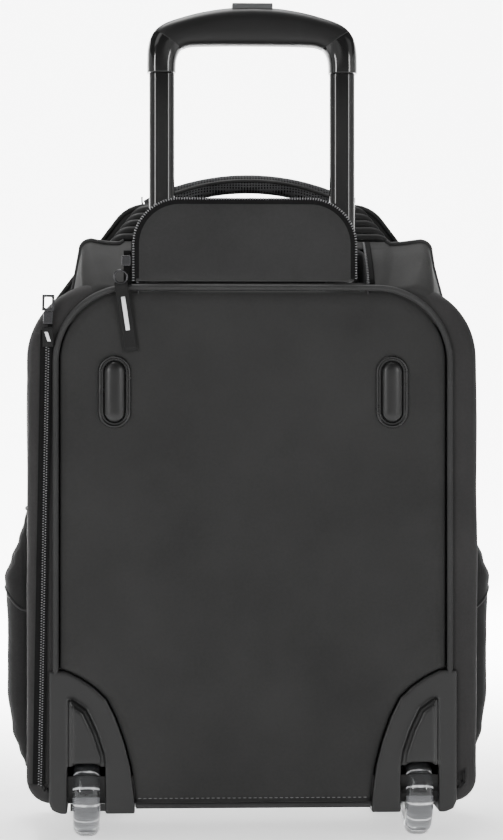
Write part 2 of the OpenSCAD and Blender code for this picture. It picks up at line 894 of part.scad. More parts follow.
module rear_shell() {
    liner = bay_half + wall;
    color([0.21, 0.21, 0.22]) without_guards() difference() {
        union() {
            difference() {
                rear_solid(0);
                rear_solid(wall);
            }
            intersection() {
                rear_solid(0);
                block(-liner, liner, 0, bay_d + wall, bezel_z - 8, ridge_z);
            }
        }
        slab(-5, board_d1 + fit_gap) panel_outline(-fit_gap);
        block(-bay_half, bay_half, -5, bay_d, bezel_z, ridge_z + 5);
        block(-bay_half + 1, bay_half - 1, -5, tube_d + out_t / 2 + 1, bezel_z - 20, bezel_z + 1);
        flap_zone(0);
    }
}

module frame_hoop() {
    color("gray") without_guards() slab(rear_d - wall - hoop_gap - hoop_w, rear_d - wall - hoop_gap)
        difference() {
        body_outline(wall + hoop_inset);
        body_outline(wall + hoop_inset + hoop_w);
    }
}

module laptop_divider() {
    divider_half = half_w - divider_inset;
    color([0.3, 0.3, 0.32]) without_guards() slab(divider_d, divider_d + divider_t)
        translate([-divider_half, base_z + wall + 1])
            square([2 * divider_half, back_top - base_z - 2 * wall - divider_drop]);
}

// ---------- cover over the grip ----------

module cover_tape() {
    edge = bay_half + 2 * part_gap;
    low = stub_t;
    high = stub_t + rim_tape_t;
    color([0.1, 0.1, 0.1]) {
        block(-stub_x - stub_w, -stub_x, -stub_t, 0, cover_z, cover_z + stub_h);
        block(cover_half - cover_shift + 1, bay_half, -stub_t, 0, cover_z, cover_z + right_stub_h);
        both_sides() rail(edge, edge + rim_tape_w) polygon([
            [2 * face_d, back_top + low], [shoulder_front, ridge_z - shoulder_drop + low],
            [shoulder_front, ridge_z - shoulder_drop + high], [2 * face_d, back_top + high]
        ]);
    }
}

module cover_flap() {
    color([0.2, 0.2, 0.21]) slab(cover_axis[0] - cover_t / 2, cover_axis[0] + cover_t / 2)
        cover_outline(zip_band);
}

module cover_flap_zip() {
    color([0.07, 0.07, 0.07]) slab(cover_axis[0] - cover_t / 2, cover_axis[0] + cover_t / 2 - 1)
        difference() {
            cover_outline(0);
            cover_outline(zip_band);
        }
}

module cover_slider() {
    x1 = -stub_x - 2 * part_gap;
    color([0.08, 0.08, 0.08]) block(x1 - cover_slider_w, x1,
                                     cover_slider_back, cover_slider_back + slider_h + 2 * part_gap,
                                     cover_slider_z, cover_slider_z + cover_slider_len);
}

module cover_ring() {
    color("silver") translate([ring_x, ring_d - y_mid, ring_z]) rotate([90, 0, 0])
        rotate_extrude() translate([ring_r, 0]) circle(ring_wire, $fn = 16);
}

module cover_strap() {
    top_z = ring_z - ring_r - ring_wire - fit_gap;
    color([0.12, 0.12, 0.12]) slab(ring_d - strap_t / 2, ring_d + strap_t / 2)
        translate([ring_x, top_z]) rotate(strap_lean)
            translate([-strap_w / 2, -strap_len - 1]) square([strap_w, strap_len]);
}

// ---------- left side: laptop entry ----------

module along_zip() {
    translate([-(half_w - zip_top_inset), 0, zip_top_z]) rotate([0, zip_tilt, 0]) children();
}

module side_zip_fixed() {
    color([0.08, 0.08, 0.08]) along_zip() {
        translate([0, face_d - tape_t - y_mid, flap_z0 - zip_top_z])
            cube([fixed_tape_w, tape_t, flap_z1 - flap_z0]);
        translate([-tape_w, face_d - tape_t - y_mid, -zip_end_h / 2])
            cube([tape_w + fixed_tape_w, tape_t, zip_end_h]);
    }
}

module side_flap() {
    color([0.2, 0.2, 0.21]) intersection() {
        difference() {
            rear_solid(0);
            rear_solid(wall);
        }
        flap_zone(part_gap);
    }
}

module side_flap_zip() {
    color([0.08, 0.08, 0.08]) along_zip()
        translate([-part_gap - tape_w, face_d - tape_t - y_mid, flap_z0 - zip_top_z + 1])
            cube([tape_w, tape_t, flap_z1 - flap_z0 - 2]);
}

module side_slider() {
    color([0.1, 0.1, 0.1]) along_zip()
        translate([-side_slider_w / 2, side_slider_d - y_mid, -slider_len / 2])
            cube([side_slider_w, slider_h, slider_len]);
}

module side_puller() {
    color("silver") along_zip()
        translate([-puller_w / 2, puller_d - y_mid, slider_len / 2 + part_gap]) difference() {
            cube([puller_w, puller_t, puller_len]);
            translate([puller_frame, -1, puller_frame])
                cube([puller_w - 2 * puller_frame, puller_t + 2, puller_len - 2 * puller_frame]);
        }
}

module side_strap() {
    color([0.12, 0.12, 0.12]) along_zip()
        translate([-side_strap_w / 2, puller_d - y_mid, -side_strap_top - side_strap_len])
            cube([side_strap_w, side_strap_t, side_strap_len]);
}

// ---------- main compartment ----------

module zip_ribs() {
    pitch = rib_zone / rib_count;
    step = (crown_rise - first_rib) / (rib_count - 1);
    color([0.12, 0.12, 0.12]) for (i = [0:rib_count - 1]) {
        top = ridge_z + first_rib + i * step;
        half = main_corner_x + rib_flare - i * rib_narrow;
        d0 = rear_d - rib_zone + i * pitch;
        slab(d0, d0 + rib_t) intersection() {
            hull() for (s = [-1, 1]) {
                translate([s * (half - rib_r), top - rib_r]) circle(rib_r);
                translate([s * (half - rib_r), ridge_z - rib_r]) circle(rib_r);
            }
            translate([-half_w, ridge_z + fit_gap / 2]) square([case_w, crown_rise]);
        }
    }
}

module main_shell() {
    color([0.2, 0.2, 0.21]) {
        difference() {
            slab(main_back, main_front) main_outline(0);
            slab(main_back + wall, main_front + 1) main_outline(wall);
        }
        intersection() {
            slab(main_front, lid_front) main_outline(0);
            block(-half_w, half_w, main_front, lid_front, 0, lid_z - part_gap);
        }
    }
}

// the right pocket's section, inset by its wall for the room inside
module side_pocket_outline(inset) {
    x = half_w + fit_gap;
    full = x + side_bulge - inset;
    polygon([
        [x + inset, side_pocket_z + inset], [x + pocket_foot, side_pocket_z + inset],
        [full - bulge_low[0], side_pocket_z + bulge_low[1]], [full, side_pocket_z + bulge_full],
        [full, side_mouth_z - mouth_fall], [x + mouth_w - inset, side_mouth_z],
        [x + mouth_w - inset, side_mouth_z + inset], [x + inset, side_mouth_z + inset]
    ]);
}

module side_pocket() {
    color([0.18, 0.18, 0.19]) difference() {
        slab(side_pocket_d0, side_pocket_d1) side_pocket_outline(0);
        slab(side_pocket_d0 + pocket_wall, side_pocket_d1 - pocket_wall)
            side_pocket_outline(pocket_wall);
    }
}

module side_pocket_right() { side_pocket(); }
module side_pocket_left() { on_left() side_pocket(); }

// ---------- carry handle ----------

module carry_arch() {
    outer_r = (carry_half * carry_half + carry_rise * carry_rise) / (2 * carry_rise);
    intersection() {
        translate([0, carry_z + carry_rise - outer_r]) difference() {
            circle(outer_r, $fn = 180);
            circle(outer_r - carry_t, $fn = 180);
        }
        translate([-carry_half, carry_z]) square([2 * carry_half, carry_rise + 1]);
    }
}

module carry_handle() {
    middle_half = carry_half - wide_end;
    color([0.15, 0.15, 0.16]) {
        intersection() {
            slab(carry_d - carry_w / 2, carry_d + carry_w / 2) carry_arch();
            block(-middle_half, middle_half, 0, main_front, 0, 2 * carry_z);
        }
        difference() {
            slab(carry_d - carry_end_w / 2, carry_d + carry_end_w / 2) carry_arch();
            block(-middle_half, middle_half, 0, main_front, 0, 2 * carry_z);
        }
        both_sides() cross_rod(carry_half - eye_len, carry_half, carry_d, carry_z, eye_r);
    }
}

module carry_anchors() {
    lug = carry_half + part_gap;
    color([0.12, 0.12, 0.12]) both_sides() {
        block(carry_half - eye_len - anchor_t, lug + anchor_t, carry_d - anchor_w, carry_d + anchor_w,
              main_top, main_top + anchor_base_t);
        block(lug, lug + anchor_t, carry_d - lug_w, carry_d + lug_w, main_top + anchor_base_t,
              carry_z + anchor_t);
    }
}

// ---------- lid, front pocket and their zips ----------

module main_lid() {
    color([0.2, 0.2, 0.21]) intersection() {
        slab(lid_back, lid_front) main_outline(0);
        block(-half_w, half_w, lid_back, lid_front, lid_z, main_top + 1);
    }
}

module front_pocket_outline(inset) {
    r = front_pocket_r;
    low_r = front_pocket_foot_r;
    hull() for (s = [-1, 1]) {
        translate([s * (front_pocket_w / 2 - r), front_pocket_top - r]) circle(r - inset);
        translate([s * (front_pocket_w / 2 - low_r), pocket_z + low_r]) circle(low_r - inset);
    }
}

module front_pocket() {
    mouth_half = front_pocket_w / 2 - slot_end;
    color([0.19, 0.19, 0.2]) difference() {
        slab(lid_front, pocket_front) front_pocket_outline(0);
        slab(lid_front + wall, pocket_front - wall) front_pocket_outline(wall);
        block(-mouth_half, mouth_half, lid_front + paper_slot[0], lid_front + paper_slot[1],
              front_pocket_top - paper_slot[1], front_pocket_top + 1);
    }
}

module main_slider() {
    x0 = half_w + 0.5;
    color([0.1, 0.1, 0.1]) block(x0, x0 + slider_h, main_front - slider_w / 2,
                                  main_front + slider_w / 2, main_slider_z,
                                  main_slider_z + main_slider_len);
}

module main_pull() {
    x0 = half_w + 0.5 + slider_h + part_gap;
    color([0.12, 0.12, 0.12]) block(x0, x0 + pull_t, main_front - pull_w / 2,
                                     main_front + pull_w / 2,
                                     main_slider_z + pull_z - pull_len, main_slider_z + pull_z);
}

module pocket_slider() {
    half = pocket_slider_w / 2;
    color([0.1, 0.1, 0.1]) block(-half, half, pocket_front + part_gap, pocket_front + slider_h,
                                  pocket_slider_z, pocket_slider_z + pocket_slider_len);
}

module pocket_pull() {
    d0 = pocket_front + slider_h + part_gap;
    color([0.12, 0.12, 0.12]) block(-pull_w / 2, pull_w / 2, d0, d0 + pull_t,
                                     pocket_slider_z + pull_z - pull_len, pocket_slider_z + pull_z);
}

back_board();
back_panel();
back_piping();
bumper_rings();
bumper_pads();
base_tray();
front_feet();
wheel_guard_left();
wheel_guard_right();
guard_screws();
axle_left();
axle_right();
tyre_left();
tyre_right();
hub_left();
hub_right();
bearings_left();
bearings_right();
outer_tubes();
handle_foot();
handle_bezel();
middle_tubes();
middle_collars();
inner_tubes();
inner_glides();
grip_frame();
grip_cover();
grip_screws();
button_spring();
release_button();
lock_rods();
lock_pin_left();
lock_pin_right();
rear_shell();
frame_hoop();
laptop_divider();
cover_tape();
cover_flap();
cover_flap_zip();
cover_slider();
cover_ring();
cover_strap();
side_zip_fixed();
side_flap();
side_flap_zip();
side_slider();
side_puller();
side_strap();
zip_ribs();
main_shell();
side_pocket_left();
side_pocket_right();
carry_anchors();
carry_handle();
main_lid();
front_pocket();
main_slider();
main_pull();
pocket_slider();
pocket_pull();
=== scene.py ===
import bpy
import bmesh
import math
from mathutils import Matrix, Vector, noise


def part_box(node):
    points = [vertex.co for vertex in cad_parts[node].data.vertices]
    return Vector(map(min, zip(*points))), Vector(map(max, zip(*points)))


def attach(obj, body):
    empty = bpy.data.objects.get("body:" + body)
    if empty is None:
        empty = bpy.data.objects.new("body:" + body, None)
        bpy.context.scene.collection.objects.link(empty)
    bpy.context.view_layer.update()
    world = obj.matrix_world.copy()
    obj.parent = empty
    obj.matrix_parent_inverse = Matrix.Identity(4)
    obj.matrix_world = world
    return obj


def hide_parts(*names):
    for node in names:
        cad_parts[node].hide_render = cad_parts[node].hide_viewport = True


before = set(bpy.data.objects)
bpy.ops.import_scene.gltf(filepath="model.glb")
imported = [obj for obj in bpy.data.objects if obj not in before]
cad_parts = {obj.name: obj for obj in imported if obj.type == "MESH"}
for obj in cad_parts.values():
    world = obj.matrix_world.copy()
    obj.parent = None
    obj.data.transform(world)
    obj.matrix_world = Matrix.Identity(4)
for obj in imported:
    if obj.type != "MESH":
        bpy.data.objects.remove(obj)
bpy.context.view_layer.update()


# ---------------------------------------------------------------------------
# Back panel. Thin foam under coated polyester, cut round the wheel guards and
# sewn down along its edge, with one line of topstitching above its foot.
# ---------------------------------------------------------------------------

mm = 0.001
face_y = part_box("back_panel")[0].y


def spot(x, depth, z):
    """A place across the case, at a depth in front of the back panel's face, at a height."""
    return Vector((x, face_y + depth, z))


def laid(name, cols, rows, place, flip=False):
    """A grid of quads whose corners are laid by place(u, v), where u and v run from 0 to 1."""
    bpy.ops.object.select_all(action="DESELECT")
    bpy.ops.mesh.primitive_grid_add(x_subdivisions=cols, y_subdivisions=rows, size=1)
    piece = bpy.context.object
    piece.name = name
    for vertex in piece.data.vertices:
        vertex.co = place(vertex.co.x + 0.5, vertex.co.y + 0.5)
    mesh = bmesh.new()
    mesh.from_mesh(piece.data)
    bmesh.ops.remove_doubles(mesh, verts=mesh.verts, dist=0.01 * mm)
    bmesh.ops.dissolve_degenerate(mesh, edges=mesh.edges, dist=0.005 * mm)
    if flip:
        bmesh.ops.reverse_faces(mesh, faces=mesh.faces)
    mesh.to_mesh(piece.data)
    mesh.free()
    piece.data.shade_smooth()
    return piece


def shaped(piece, *steps):
    """Applies modifiers in turn; each step is a kind and its settings."""
    bpy.ops.object.select_all(action="DESELECT")
    bpy.context.view_layer.objects.active = piece
    piece.select_set(True)
    for kind, settings in steps:
        modifier = piece.modifiers.new(kind.lower(), kind)
        for key, value in settings.items():
            setattr(modifier, key, value)
        bpy.ops.object.modifier_apply(modifier=modifier.name)
    return piece


def lined(piece, thickness):
    """Gives a fabric skin its thickness, inwards from the face that shows."""
    return shaped(piece, ("SOLIDIFY", {"thickness": thickness, "offset": -1}))


def dressed(piece, body, material, slot, *nodes):
    """Puts the finish on a piece, sets it on its body and takes the CAD nodes' place."""
    piece.data.materials.clear()
    piece.data.materials.append(material)
    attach(piece, body)
    if nodes:
        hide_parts(*nodes)
    return piece


def node_group(name, inputs, outputs):
    """A new shader node group with its named sockets, and its input and output nodes."""
    tree = bpy.data.node_groups.new(name, "ShaderNodeTree")
    for label, kind, value in inputs:
        socket = tree.interface.new_socket(label, in_out="INPUT", socket_type=kind)
        socket.default_value = value
    for label, kind in outputs:
        tree.interface.new_socket(label, in_out="OUTPUT", socket_type=kind)
    return tree, tree.nodes.new("NodeGroupInput"), tree.nodes.new("NodeGroupOutput")


def wired(tree, kind, *sources, **settings):
    """Adds a node, sets its properties, and feeds its inputs from sockets or plain values."""
    node = tree.nodes.new(kind)
    for key, value in settings.items():
        setattr(node, key, value)
    for socket, source in zip(node.inputs, sources):
        if source is None:
            continue
        if isinstance(source, bpy.types.NodeSocket):
            tree.links.new(source, socket)
        else:
            socket.default_value = source
    return node


def math_of(tree, operation, *sources):
    """The result of one sum on sockets or plain values."""
    return wired(tree, "ShaderNodeMath", *sources, operation=operation).outputs[0]


def noise_of(tree, place, scale, detail=3.0, rough=0.55):
    """Smooth random shading from 0 to 1, at a scale per metre."""
    node = tree.nodes.new("ShaderNodeTexNoise")
    tree.links.new(place, node.inputs["Vector"])
    node.inputs["Scale"].default_value = scale
    node.inputs["Detail"].default_value = detail
    node.inputs["Roughness"].default_value = rough
    return node.outputs["Fac"]


def blended(tree, factor, first, second):
    """A colour between two colours."""
    node = tree.nodes.new("ShaderNodeMix")
    node.data_type = "RGBA"
    for socket, source in ((node.inputs[0], factor), (node.inputs[6], first), (node.inputs[7], second)):
        if isinstance(source, bpy.types.NodeSocket):
            tree.links.new(source, socket)
        else:
            socket.default_value = source
    return node.outputs[2]


def ranged(tree, value, low, high):
    """Maps a 0 to 1 value to low to high."""
    return wired(tree, "ShaderNodeMapRange", value, 0.0, 1.0, low, high).outputs[0]


def grown_weave():
    """Woven cloth: threads across and up, with slow changes of shade and rubbed spots."""
    tree, given, out = node_group(
        "woven_cloth",
        [("Dark", "NodeSocketColor", (0.03, 0.03, 0.03, 1)),
         ("Light", "NodeSocketColor", (0.06, 0.06, 0.06, 1)),
         ("Threads", "NodeSocketFloat", 900.0), ("Roughness", "NodeSocketFloat", 0.8)],
        [("Color", "NodeSocketColor"), ("Roughness", "NodeSocketFloat"), ("Height", "NodeSocketFloat")])
    place = tree.nodes.new("ShaderNodeTexCoord").outputs["Object"]
    x, y, z = wired(tree, "ShaderNodeSeparateXYZ", place).outputs
    turn = math_of(tree, "MULTIPLY", given.outputs["Threads"], math.tau)
    warp = math_of(tree, "SINE", math_of(tree, "MULTIPLY", math_of(tree, "ADD", x, y), turn))
    lean = math_of(tree, "ADD", z, math_of(tree, "MULTIPLY", y, 0.6))
    weft = math_of(tree, "SINE", math_of(tree, "MULTIPLY", lean, turn))
    threads = math_of(tree, "MULTIPLY_ADD", math_of(tree, "MULTIPLY", warp, weft), 0.5, 0.5)
    slow = noise_of(tree, place, 14.0, 4.0)
    fine = noise_of(tree, place, 420.0, 2.0)
    shade = math_of(tree, "ADD", math_of(tree, "MULTIPLY", slow, 0.75), math_of(tree, "MULTIPLY", fine, 0.35))
    shade = math_of(tree, "ADD", shade, math_of(tree, "MULTIPLY", threads, 0.28))
    shade = math_of(tree, "SUBTRACT", shade, 0.2)
    tree.links.new(blended(tree, shade, given.outputs["Dark"], given.outputs["Light"]), out.inputs["Color"])
    rub = math_of(tree, "MULTIPLY", noise_of(tree, place, 30.0), 0.2)
    tree.links.new(math_of(tree, "SUBTRACT", given.outputs["Roughness"], math_of(tree, "SUBTRACT", rub, 0.1)),
                   out.inputs["Roughness"])
    height = math_of(tree, "ADD", threads, math_of(tree, "MULTIPLY", fine, 0.6))
    tree.links.new(height, out.inputs["Height"])
    return tree


weave = grown_weave()


def principled(name, roughness, **constants):
    """A material with its Principled shader; constants are set on the shader's own sockets."""
    material = bpy.data.materials.new(name)
    material.use_nodes = True
    shader = material.node_tree.nodes["Principled BSDF"]
    shader.inputs["Roughness"].default_value = roughness
    for key, value in constants.items():
        shader.inputs[key.replace("_", " ")].default_value = value
    return material, material.node_tree, shader


def bumped(tree, shader, height, strength, distance):
    """Feeds a height to the shader as a bump."""
    bump = tree.nodes.new("ShaderNodeBump")
    bump.inputs["Strength"].default_value = strength
    bump.inputs["Distance"].default_value = distance
    tree.links.new(height, bump.inputs["Height"])
    tree.links.new(bump.outputs["Normal"], shader.inputs["Normal"])


def cloth(name, dark, light, threads=950.0, roughness=0.82, bump=0.35, sheen=0.12):
    """Woven fabric between a dark and a light shade of grey, warmed or cooled by its colour."""
    material, tree, shader = principled(name, roughness, Specular_IOR_Level=sheen)
    group = tree.nodes.new("ShaderNodeGroup")
    group.node_tree = weave
    group.inputs["Dark"].default_value = (*dark, 1)
    group.inputs["Light"].default_value = (*light, 1)
    group.inputs["Threads"].default_value = threads
    group.inputs["Roughness"].default_value = roughness
    tree.links.new(group.outputs["Color"], shader.inputs["Base Color"])
    tree.links.new(group.outputs["Roughness"], shader.inputs["Roughness"])
    bumped(tree, shader, group.outputs["Height"], bump, 0.12 * mm)
    return material


panel_lo, panel_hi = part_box("back_panel")
panel_t = panel_hi.y - panel_lo.y
panel_r = 57 * mm
panel_puff = 1.8 * mm
guard_lo, guard_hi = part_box("wheel_guard_right")
guard_top = guard_lo.z + 112 * mm
guard_steps = [(-69, 0), (-68, 16), (-65, 38), (-60, 57.5), (-53, 77), (-45.5, 92), (-36, 101), (-25, 108.5),
               (-14, 114)]


def guard_edge(z):
    """How far the guards' inner edges stand from the middle of the case at a height."""
    steps = [(guard_hi.x + a * mm, guard_lo.z + b * mm) for a, b in guard_steps]
    for (x0, z0), (x1, z1) in zip(steps, steps[1:]):
        if z <= z1:
            return x0 + (x1 - x0) * max(z - z0, 0) / (z1 - z0)
    return panel_hi.x


def panel_reach(z):
    """Half the panel's width at a height."""
    rise = max(z - (panel_hi.z - panel_r), 0)
    reach = panel_hi.x - panel_r + math.sqrt(max(panel_r ** 2 - rise ** 2, 0))
    return min(reach, guard_edge(z) - 0.3 * mm)


def edge_distance(x, z):
    """How far a point of the panel lies from its sewn edge."""
    out, up = abs(x) - (panel_hi.x - panel_r), z - (panel_hi.z - panel_r)
    if out > 0 and up > 0:
        return panel_r - math.hypot(out, up)
    return min(panel_reach(z) - abs(x), panel_hi.z - z, z - panel_lo.z)


def panel_spot(u, v):
    """The panel's face: sunk along its sewn edge, then full and slightly rippled."""
    low, high = panel_lo.z, panel_hi.z - panel_r
    z = low + (high - low) * v / 0.8 if v < 0.8 else high + panel_r * math.sin((v - 0.8) / 0.2 * math.pi / 2)
    side = 2 * u - 1
    side = math.copysign(1 - (1 - abs(side)) ** 1.4, side)
    x = side * panel_reach(z)
    edge = max(edge_distance(x, z), 0)
    soft = 11 * mm
    fall = 1 - math.sqrt(1 - (1 - min(edge / soft, 1)) ** 2)
    puff = panel_puff * min(edge / (60 * mm), 1) ** 0.5
    ripple = 0.5 * mm * noise.noise(Vector((x * 14, 0, z * 11))) * min(edge / (20 * mm), 1)
    return spot(x, 0.62 * panel_t * fall - puff - ripple, z)


panel_cloth = cloth("panel_cloth", (0.012, 0.012, 0.012), (0.029, 0.029, 0.0285))
panel = lined(laid("padded_panel", 72, 110, panel_spot), 2 * mm)
dressed(panel, "root", panel_cloth, "panel_fabric", "back_panel")


def pattern_ball(name, size, segments=8, rings=5):
    """A small rounded pattern piece, to be repeated."""
    bpy.ops.object.select_all(action="DESELECT")
    bpy.ops.mesh.primitive_uv_sphere_add(segments=segments, ring_count=rings, radius=0.5)
    ball = bpy.context.object
    ball.name = name
    ball.data.transform(Matrix.Diagonal((*size, 1)))
    ball.data.shade_smooth()
    return ball


def repeated(pattern, places):
    """Copies a pattern to every place, as one piece under the pattern's name."""
    mesh = bmesh.new()
    for place in places:
        copy = pattern.data.copy()
        copy.transform(place)
        mesh.from_mesh(copy)
        bpy.data.meshes.remove(copy)
    mesh.to_mesh(pattern.data)
    mesh.free()
    pattern.data.shade_smooth()
    return pattern


def set_at(origin, along, up):
    """The place of a pattern that runs along one direction with its top towards another."""
    along = along.normalized()
    across = up.cross(along).normalized()
    place = Matrix((along, across, along.cross(across))).transposed().to_4x4()
    place.translation = origin
    return place


def spaced(points, pitch):
    """Points a pitch apart along a line of points, each with the line's direction there."""
    found, left = [], 0.0
    for a, b in zip(points, points[1:]):
        length = (b - a).length
        while left < length:
            found.append((a.lerp(b, left / length), (b - a).normalized()))
            left += pitch
        left -= length
    return found


def stitches(name, points, out, pitch=4.2 * mm, length=3 * mm, thread=0.7 * mm):
    """A run of topstitching along a line on a face that looks towards out."""
    pattern = pattern_ball(name, (length, thread, thread), 6, 4)
    return repeated(pattern, [set_at(p, along, out) for p, along in spaced(points, pitch)])


BACK, FRONT, UP, RIGHT = Vector((0, -1, 0)), Vector((0, 1, 0)), Vector((0, 0, 1)), Vector((1, 0, 0))
thread_grey = cloth("thread_grey", (0.10, 0.10, 0.10), (0.17, 0.17, 0.175), 2500.0, 0.6)
stitch_z = panel_lo.z + 3.6 * mm
stitch_run = [spot((i - 30) / 30 * 91 * mm, -panel_puff * 0.1 + 1.25 * mm, stitch_z) for i in range(61)]
dressed(stitches("panel_topstitch", stitch_run, BACK), "root", thread_grey, "panel_fabric")


# ---------------------------------------------------------------------------
# Piping. A cord wrapped in the case's own cloth, sewn into the seam round the
# panel; it ends under the wheel guards, and a flat binding crosses the foot.
# ---------------------------------------------------------------------------

def tube(name, points, radius, sides=3, closed=False):
    """A round cord along a line of points, as a mesh."""
    bpy.ops.object.select_all(action="DESELECT")
    bpy.ops.curve.primitive_bezier_curve_add(radius=1, location=(0, 0, 0))
    cord = bpy.context.object
    cord.name = name
    cord.data.splines.clear()
    spline = cord.data.splines.new("POLY")
    spline.points.add(len(points) - 1)
    for point, place in zip(spline.points, points):
        point.co = (*place, 1)
    spline.use_cyclic_u = closed
    cord.data.dimensions = "3D"
    cord.data.bevel_depth = radius
    cord.data.bevel_resolution = sides
    cord.data.use_fill_caps = not closed
    bpy.ops.object.convert(target="MESH")
    cord.data.shade_smooth()
    return cord


pipe_r = 2.5 * mm
pipe_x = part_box("back_piping")[1].x - pipe_r
pipe_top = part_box("back_piping")[1].z - pipe_r
pipe_turn = panel_r + pipe_r
pipe_depth = 1.2 * mm


def arch_points(half, top, turn, foot, depth, steps=20):
    """Up one side, round two corners and down the other, in a plane of one depth."""
    line = [(half, foot + (top - turn - foot) * i / 12) for i in range(12)]
    for i in range(steps + 1):
        a = math.pi / 2 * i / steps
        line.append((half - turn + turn * math.cos(a), top - turn + turn * math.sin(a)))
    right = [spot(x, depth, z) for x, z in line]
    left = [spot(-x, depth, z) for x, z in reversed(line)]
    return right + left


piping_cloth = cloth("piping_cloth", (0.013, 0.013, 0.013), (0.036, 0.036, 0.036), 1200.0, 0.6)
arch = arch_points(pipe_x, pipe_top, pipe_turn, guard_top, pipe_depth)
piping = tube("panel_piping", arch, pipe_r)
dressed(piping, "root", piping_cloth, "piping", "back_piping")
binding_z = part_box("back_piping")[0].z + 2.6 * mm
binding = tube("foot_binding", [spot(x * mm, 1.6 * mm, binding_z) for x in (-94, -60, 0, 60, 94)], 2.3 * mm)
dressed(binding, "root", piping_cloth, "piping")


# ---------------------------------------------------------------------------
# Bumpers. A moulded ring riveted through the panel on each side, holding a
# rubber dome that takes the knocks when the case lies on its back.
# ---------------------------------------------------------------------------

def grown_plastic():
    """Moulded plastic: a fine eroded grain, faint cloudiness and small handling marks."""
    tree, given, out = node_group(
        "moulded_grain",
        [("Color", "NodeSocketColor", (0.02, 0.02, 0.02, 1)), ("Roughness", "NodeSocketFloat", 0.4),
         ("Grain", "NodeSocketFloat", 1400.0), ("Dust", "NodeSocketFloat", 0.25)],
        [("Color", "NodeSocketColor"), ("Roughness", "NodeSocketFloat"), ("Height", "NodeSocketFloat")])
    place = tree.nodes.new("ShaderNodeTexCoord").outputs["Object"]
    grain = tree.nodes.new("ShaderNodeTexVoronoi")
    tree.links.new(place, grain.inputs["Vector"])
    tree.links.new(given.outputs["Grain"], grain.inputs["Scale"])
    cloud = noise_of(tree, place, 22.0, 5.0)
    marks = math_of(tree, "POWER", noise_of(tree, place, 90.0, 6.0, 0.7), 4.0)
    veil = math_of(tree, "MULTIPLY", math_of(tree, "ADD", math_of(tree, "MULTIPLY", cloud, 0.4), marks),
                   given.outputs["Dust"])
    tree.links.new(blended(tree, veil, given.outputs["Color"], (0.16, 0.16, 0.155, 1)), out.inputs["Color"])
    rough = math_of(tree, "ADD", given.outputs["Roughness"],
                    math_of(tree, "MULTIPLY", math_of(tree, "SUBTRACT", cloud, 0.5), 0.22))
    tree.links.new(rough, out.inputs["Roughness"])
    tree.links.new(grain.outputs["Distance"], out.inputs["Height"])
    return tree


moulded_grain = grown_plastic()


def moulding(name, colour, roughness, grain=1400.0, dust=0.25, bump=0.15, **constants):
    """Moulded or coated plastic, rubber or paint, with its grain."""
    material, tree, shader = principled(name, roughness, **constants)
    group = tree.nodes.new("ShaderNodeGroup")
    group.node_tree = moulded_grain
    group.inputs["Color"].default_value = (*colour, 1)
    group.inputs["Roughness"].default_value = roughness
    group.inputs["Grain"].default_value = grain
    group.inputs["Dust"].default_value = dust
    tree.links.new(group.outputs["Color"], shader.inputs["Base Color"])
    tree.links.new(group.outputs["Roughness"], shader.inputs["Roughness"])
    bumped(tree, shader, group.outputs["Height"], bump, 0.05 * mm)
    return material


def oval_ring(name, centre_x, centre_z, half, straight, profile, steps=20):
    """Sweeps a profile of (inset, depth) round an upright oval with straight sides."""
    turns = 2 * (steps + 1)

    def place(u, v):
        i = round(u * turns) % turns
        top = i <= steps
        a = math.pi * (i if top else i - steps - 1) / steps + (0 if top else math.pi)
        inset, depth = profile[round(v * (len(profile) - 1))]
        reach = max(half - inset, 0)
        return spot(centre_x + reach * math.cos(a), depth,
                    centre_z + (straight if top else -straight) + reach * math.sin(a))

    return laid(name, turns, len(profile) - 1, place)


ring_lo, ring_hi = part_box("bumper_rings")
pad_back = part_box("bumper_pads")[0].y - face_y
bumper_x = 111 * mm
bumper_z = (ring_lo.z + ring_hi.z) / 2
bumper_half = ring_hi.x - bumper_x
bumper_straight = (ring_hi.z - ring_lo.z) / 2 - bumper_half
ring_back = ring_lo.y - face_y
ring_steps = [(0.2, 4.4), (0, 1.6), (0.35, 0.6), (1.1, 0.05), (1.9, 0.3), (2.4, 1.0), (3.0, 1.2), (3.6, 0.9),
              (4.2, 1.2), (4.5, 2.2), (4.6, 4.4)]
ring_profile = [(inset * mm, ring_back + depth * mm) for inset, depth in ring_steps]
dome_profile = [(4.7 * mm, 2.5 * mm), (4.9 * mm, ring_back + 0.6 * mm)]
dome_profile += [(4.9 * mm + (bumper_half - 4.9 * mm) * (1 - math.cos(a)),
                  ring_back + 0.6 * mm + (pad_back - ring_back - 0.6 * mm) * math.sin(a) ** 0.8)
                 for a in (math.pi / 2 * i / 10 for i in range(1, 11))]
satin_black = moulding("satin_black", (0.005, 0.005, 0.005), 0.26, 1100.0, 0.03, Specular_IOR_Level=0.35)
dome_rubber = moulding("dome_rubber", (0.006, 0.006, 0.006), 0.3, 1600.0, 0.03, Specular_IOR_Level=0.3)
for side, word in ((-1, "left"), (1, "right")):
    oval = (side * bumper_x, bumper_z, bumper_half, bumper_straight)
    ring = oval_ring(f"bumper_ring_{word}", *oval, ring_profile)
    dressed(ring, "root", satin_black, "moulded_plastic", "bumper_rings")
    dome = oval_ring(f"bumper_dome_{word}", *oval, dome_profile)
    dressed(dome, "root", dome_rubber, "foot_rubber", "bumper_pads")


# ---------------------------------------------------------------------------
# Wheel guards. One satin moulding per corner, screwed to the back board, with
# a well for the wheel and a raised fairing above the well.
# ---------------------------------------------------------------------------

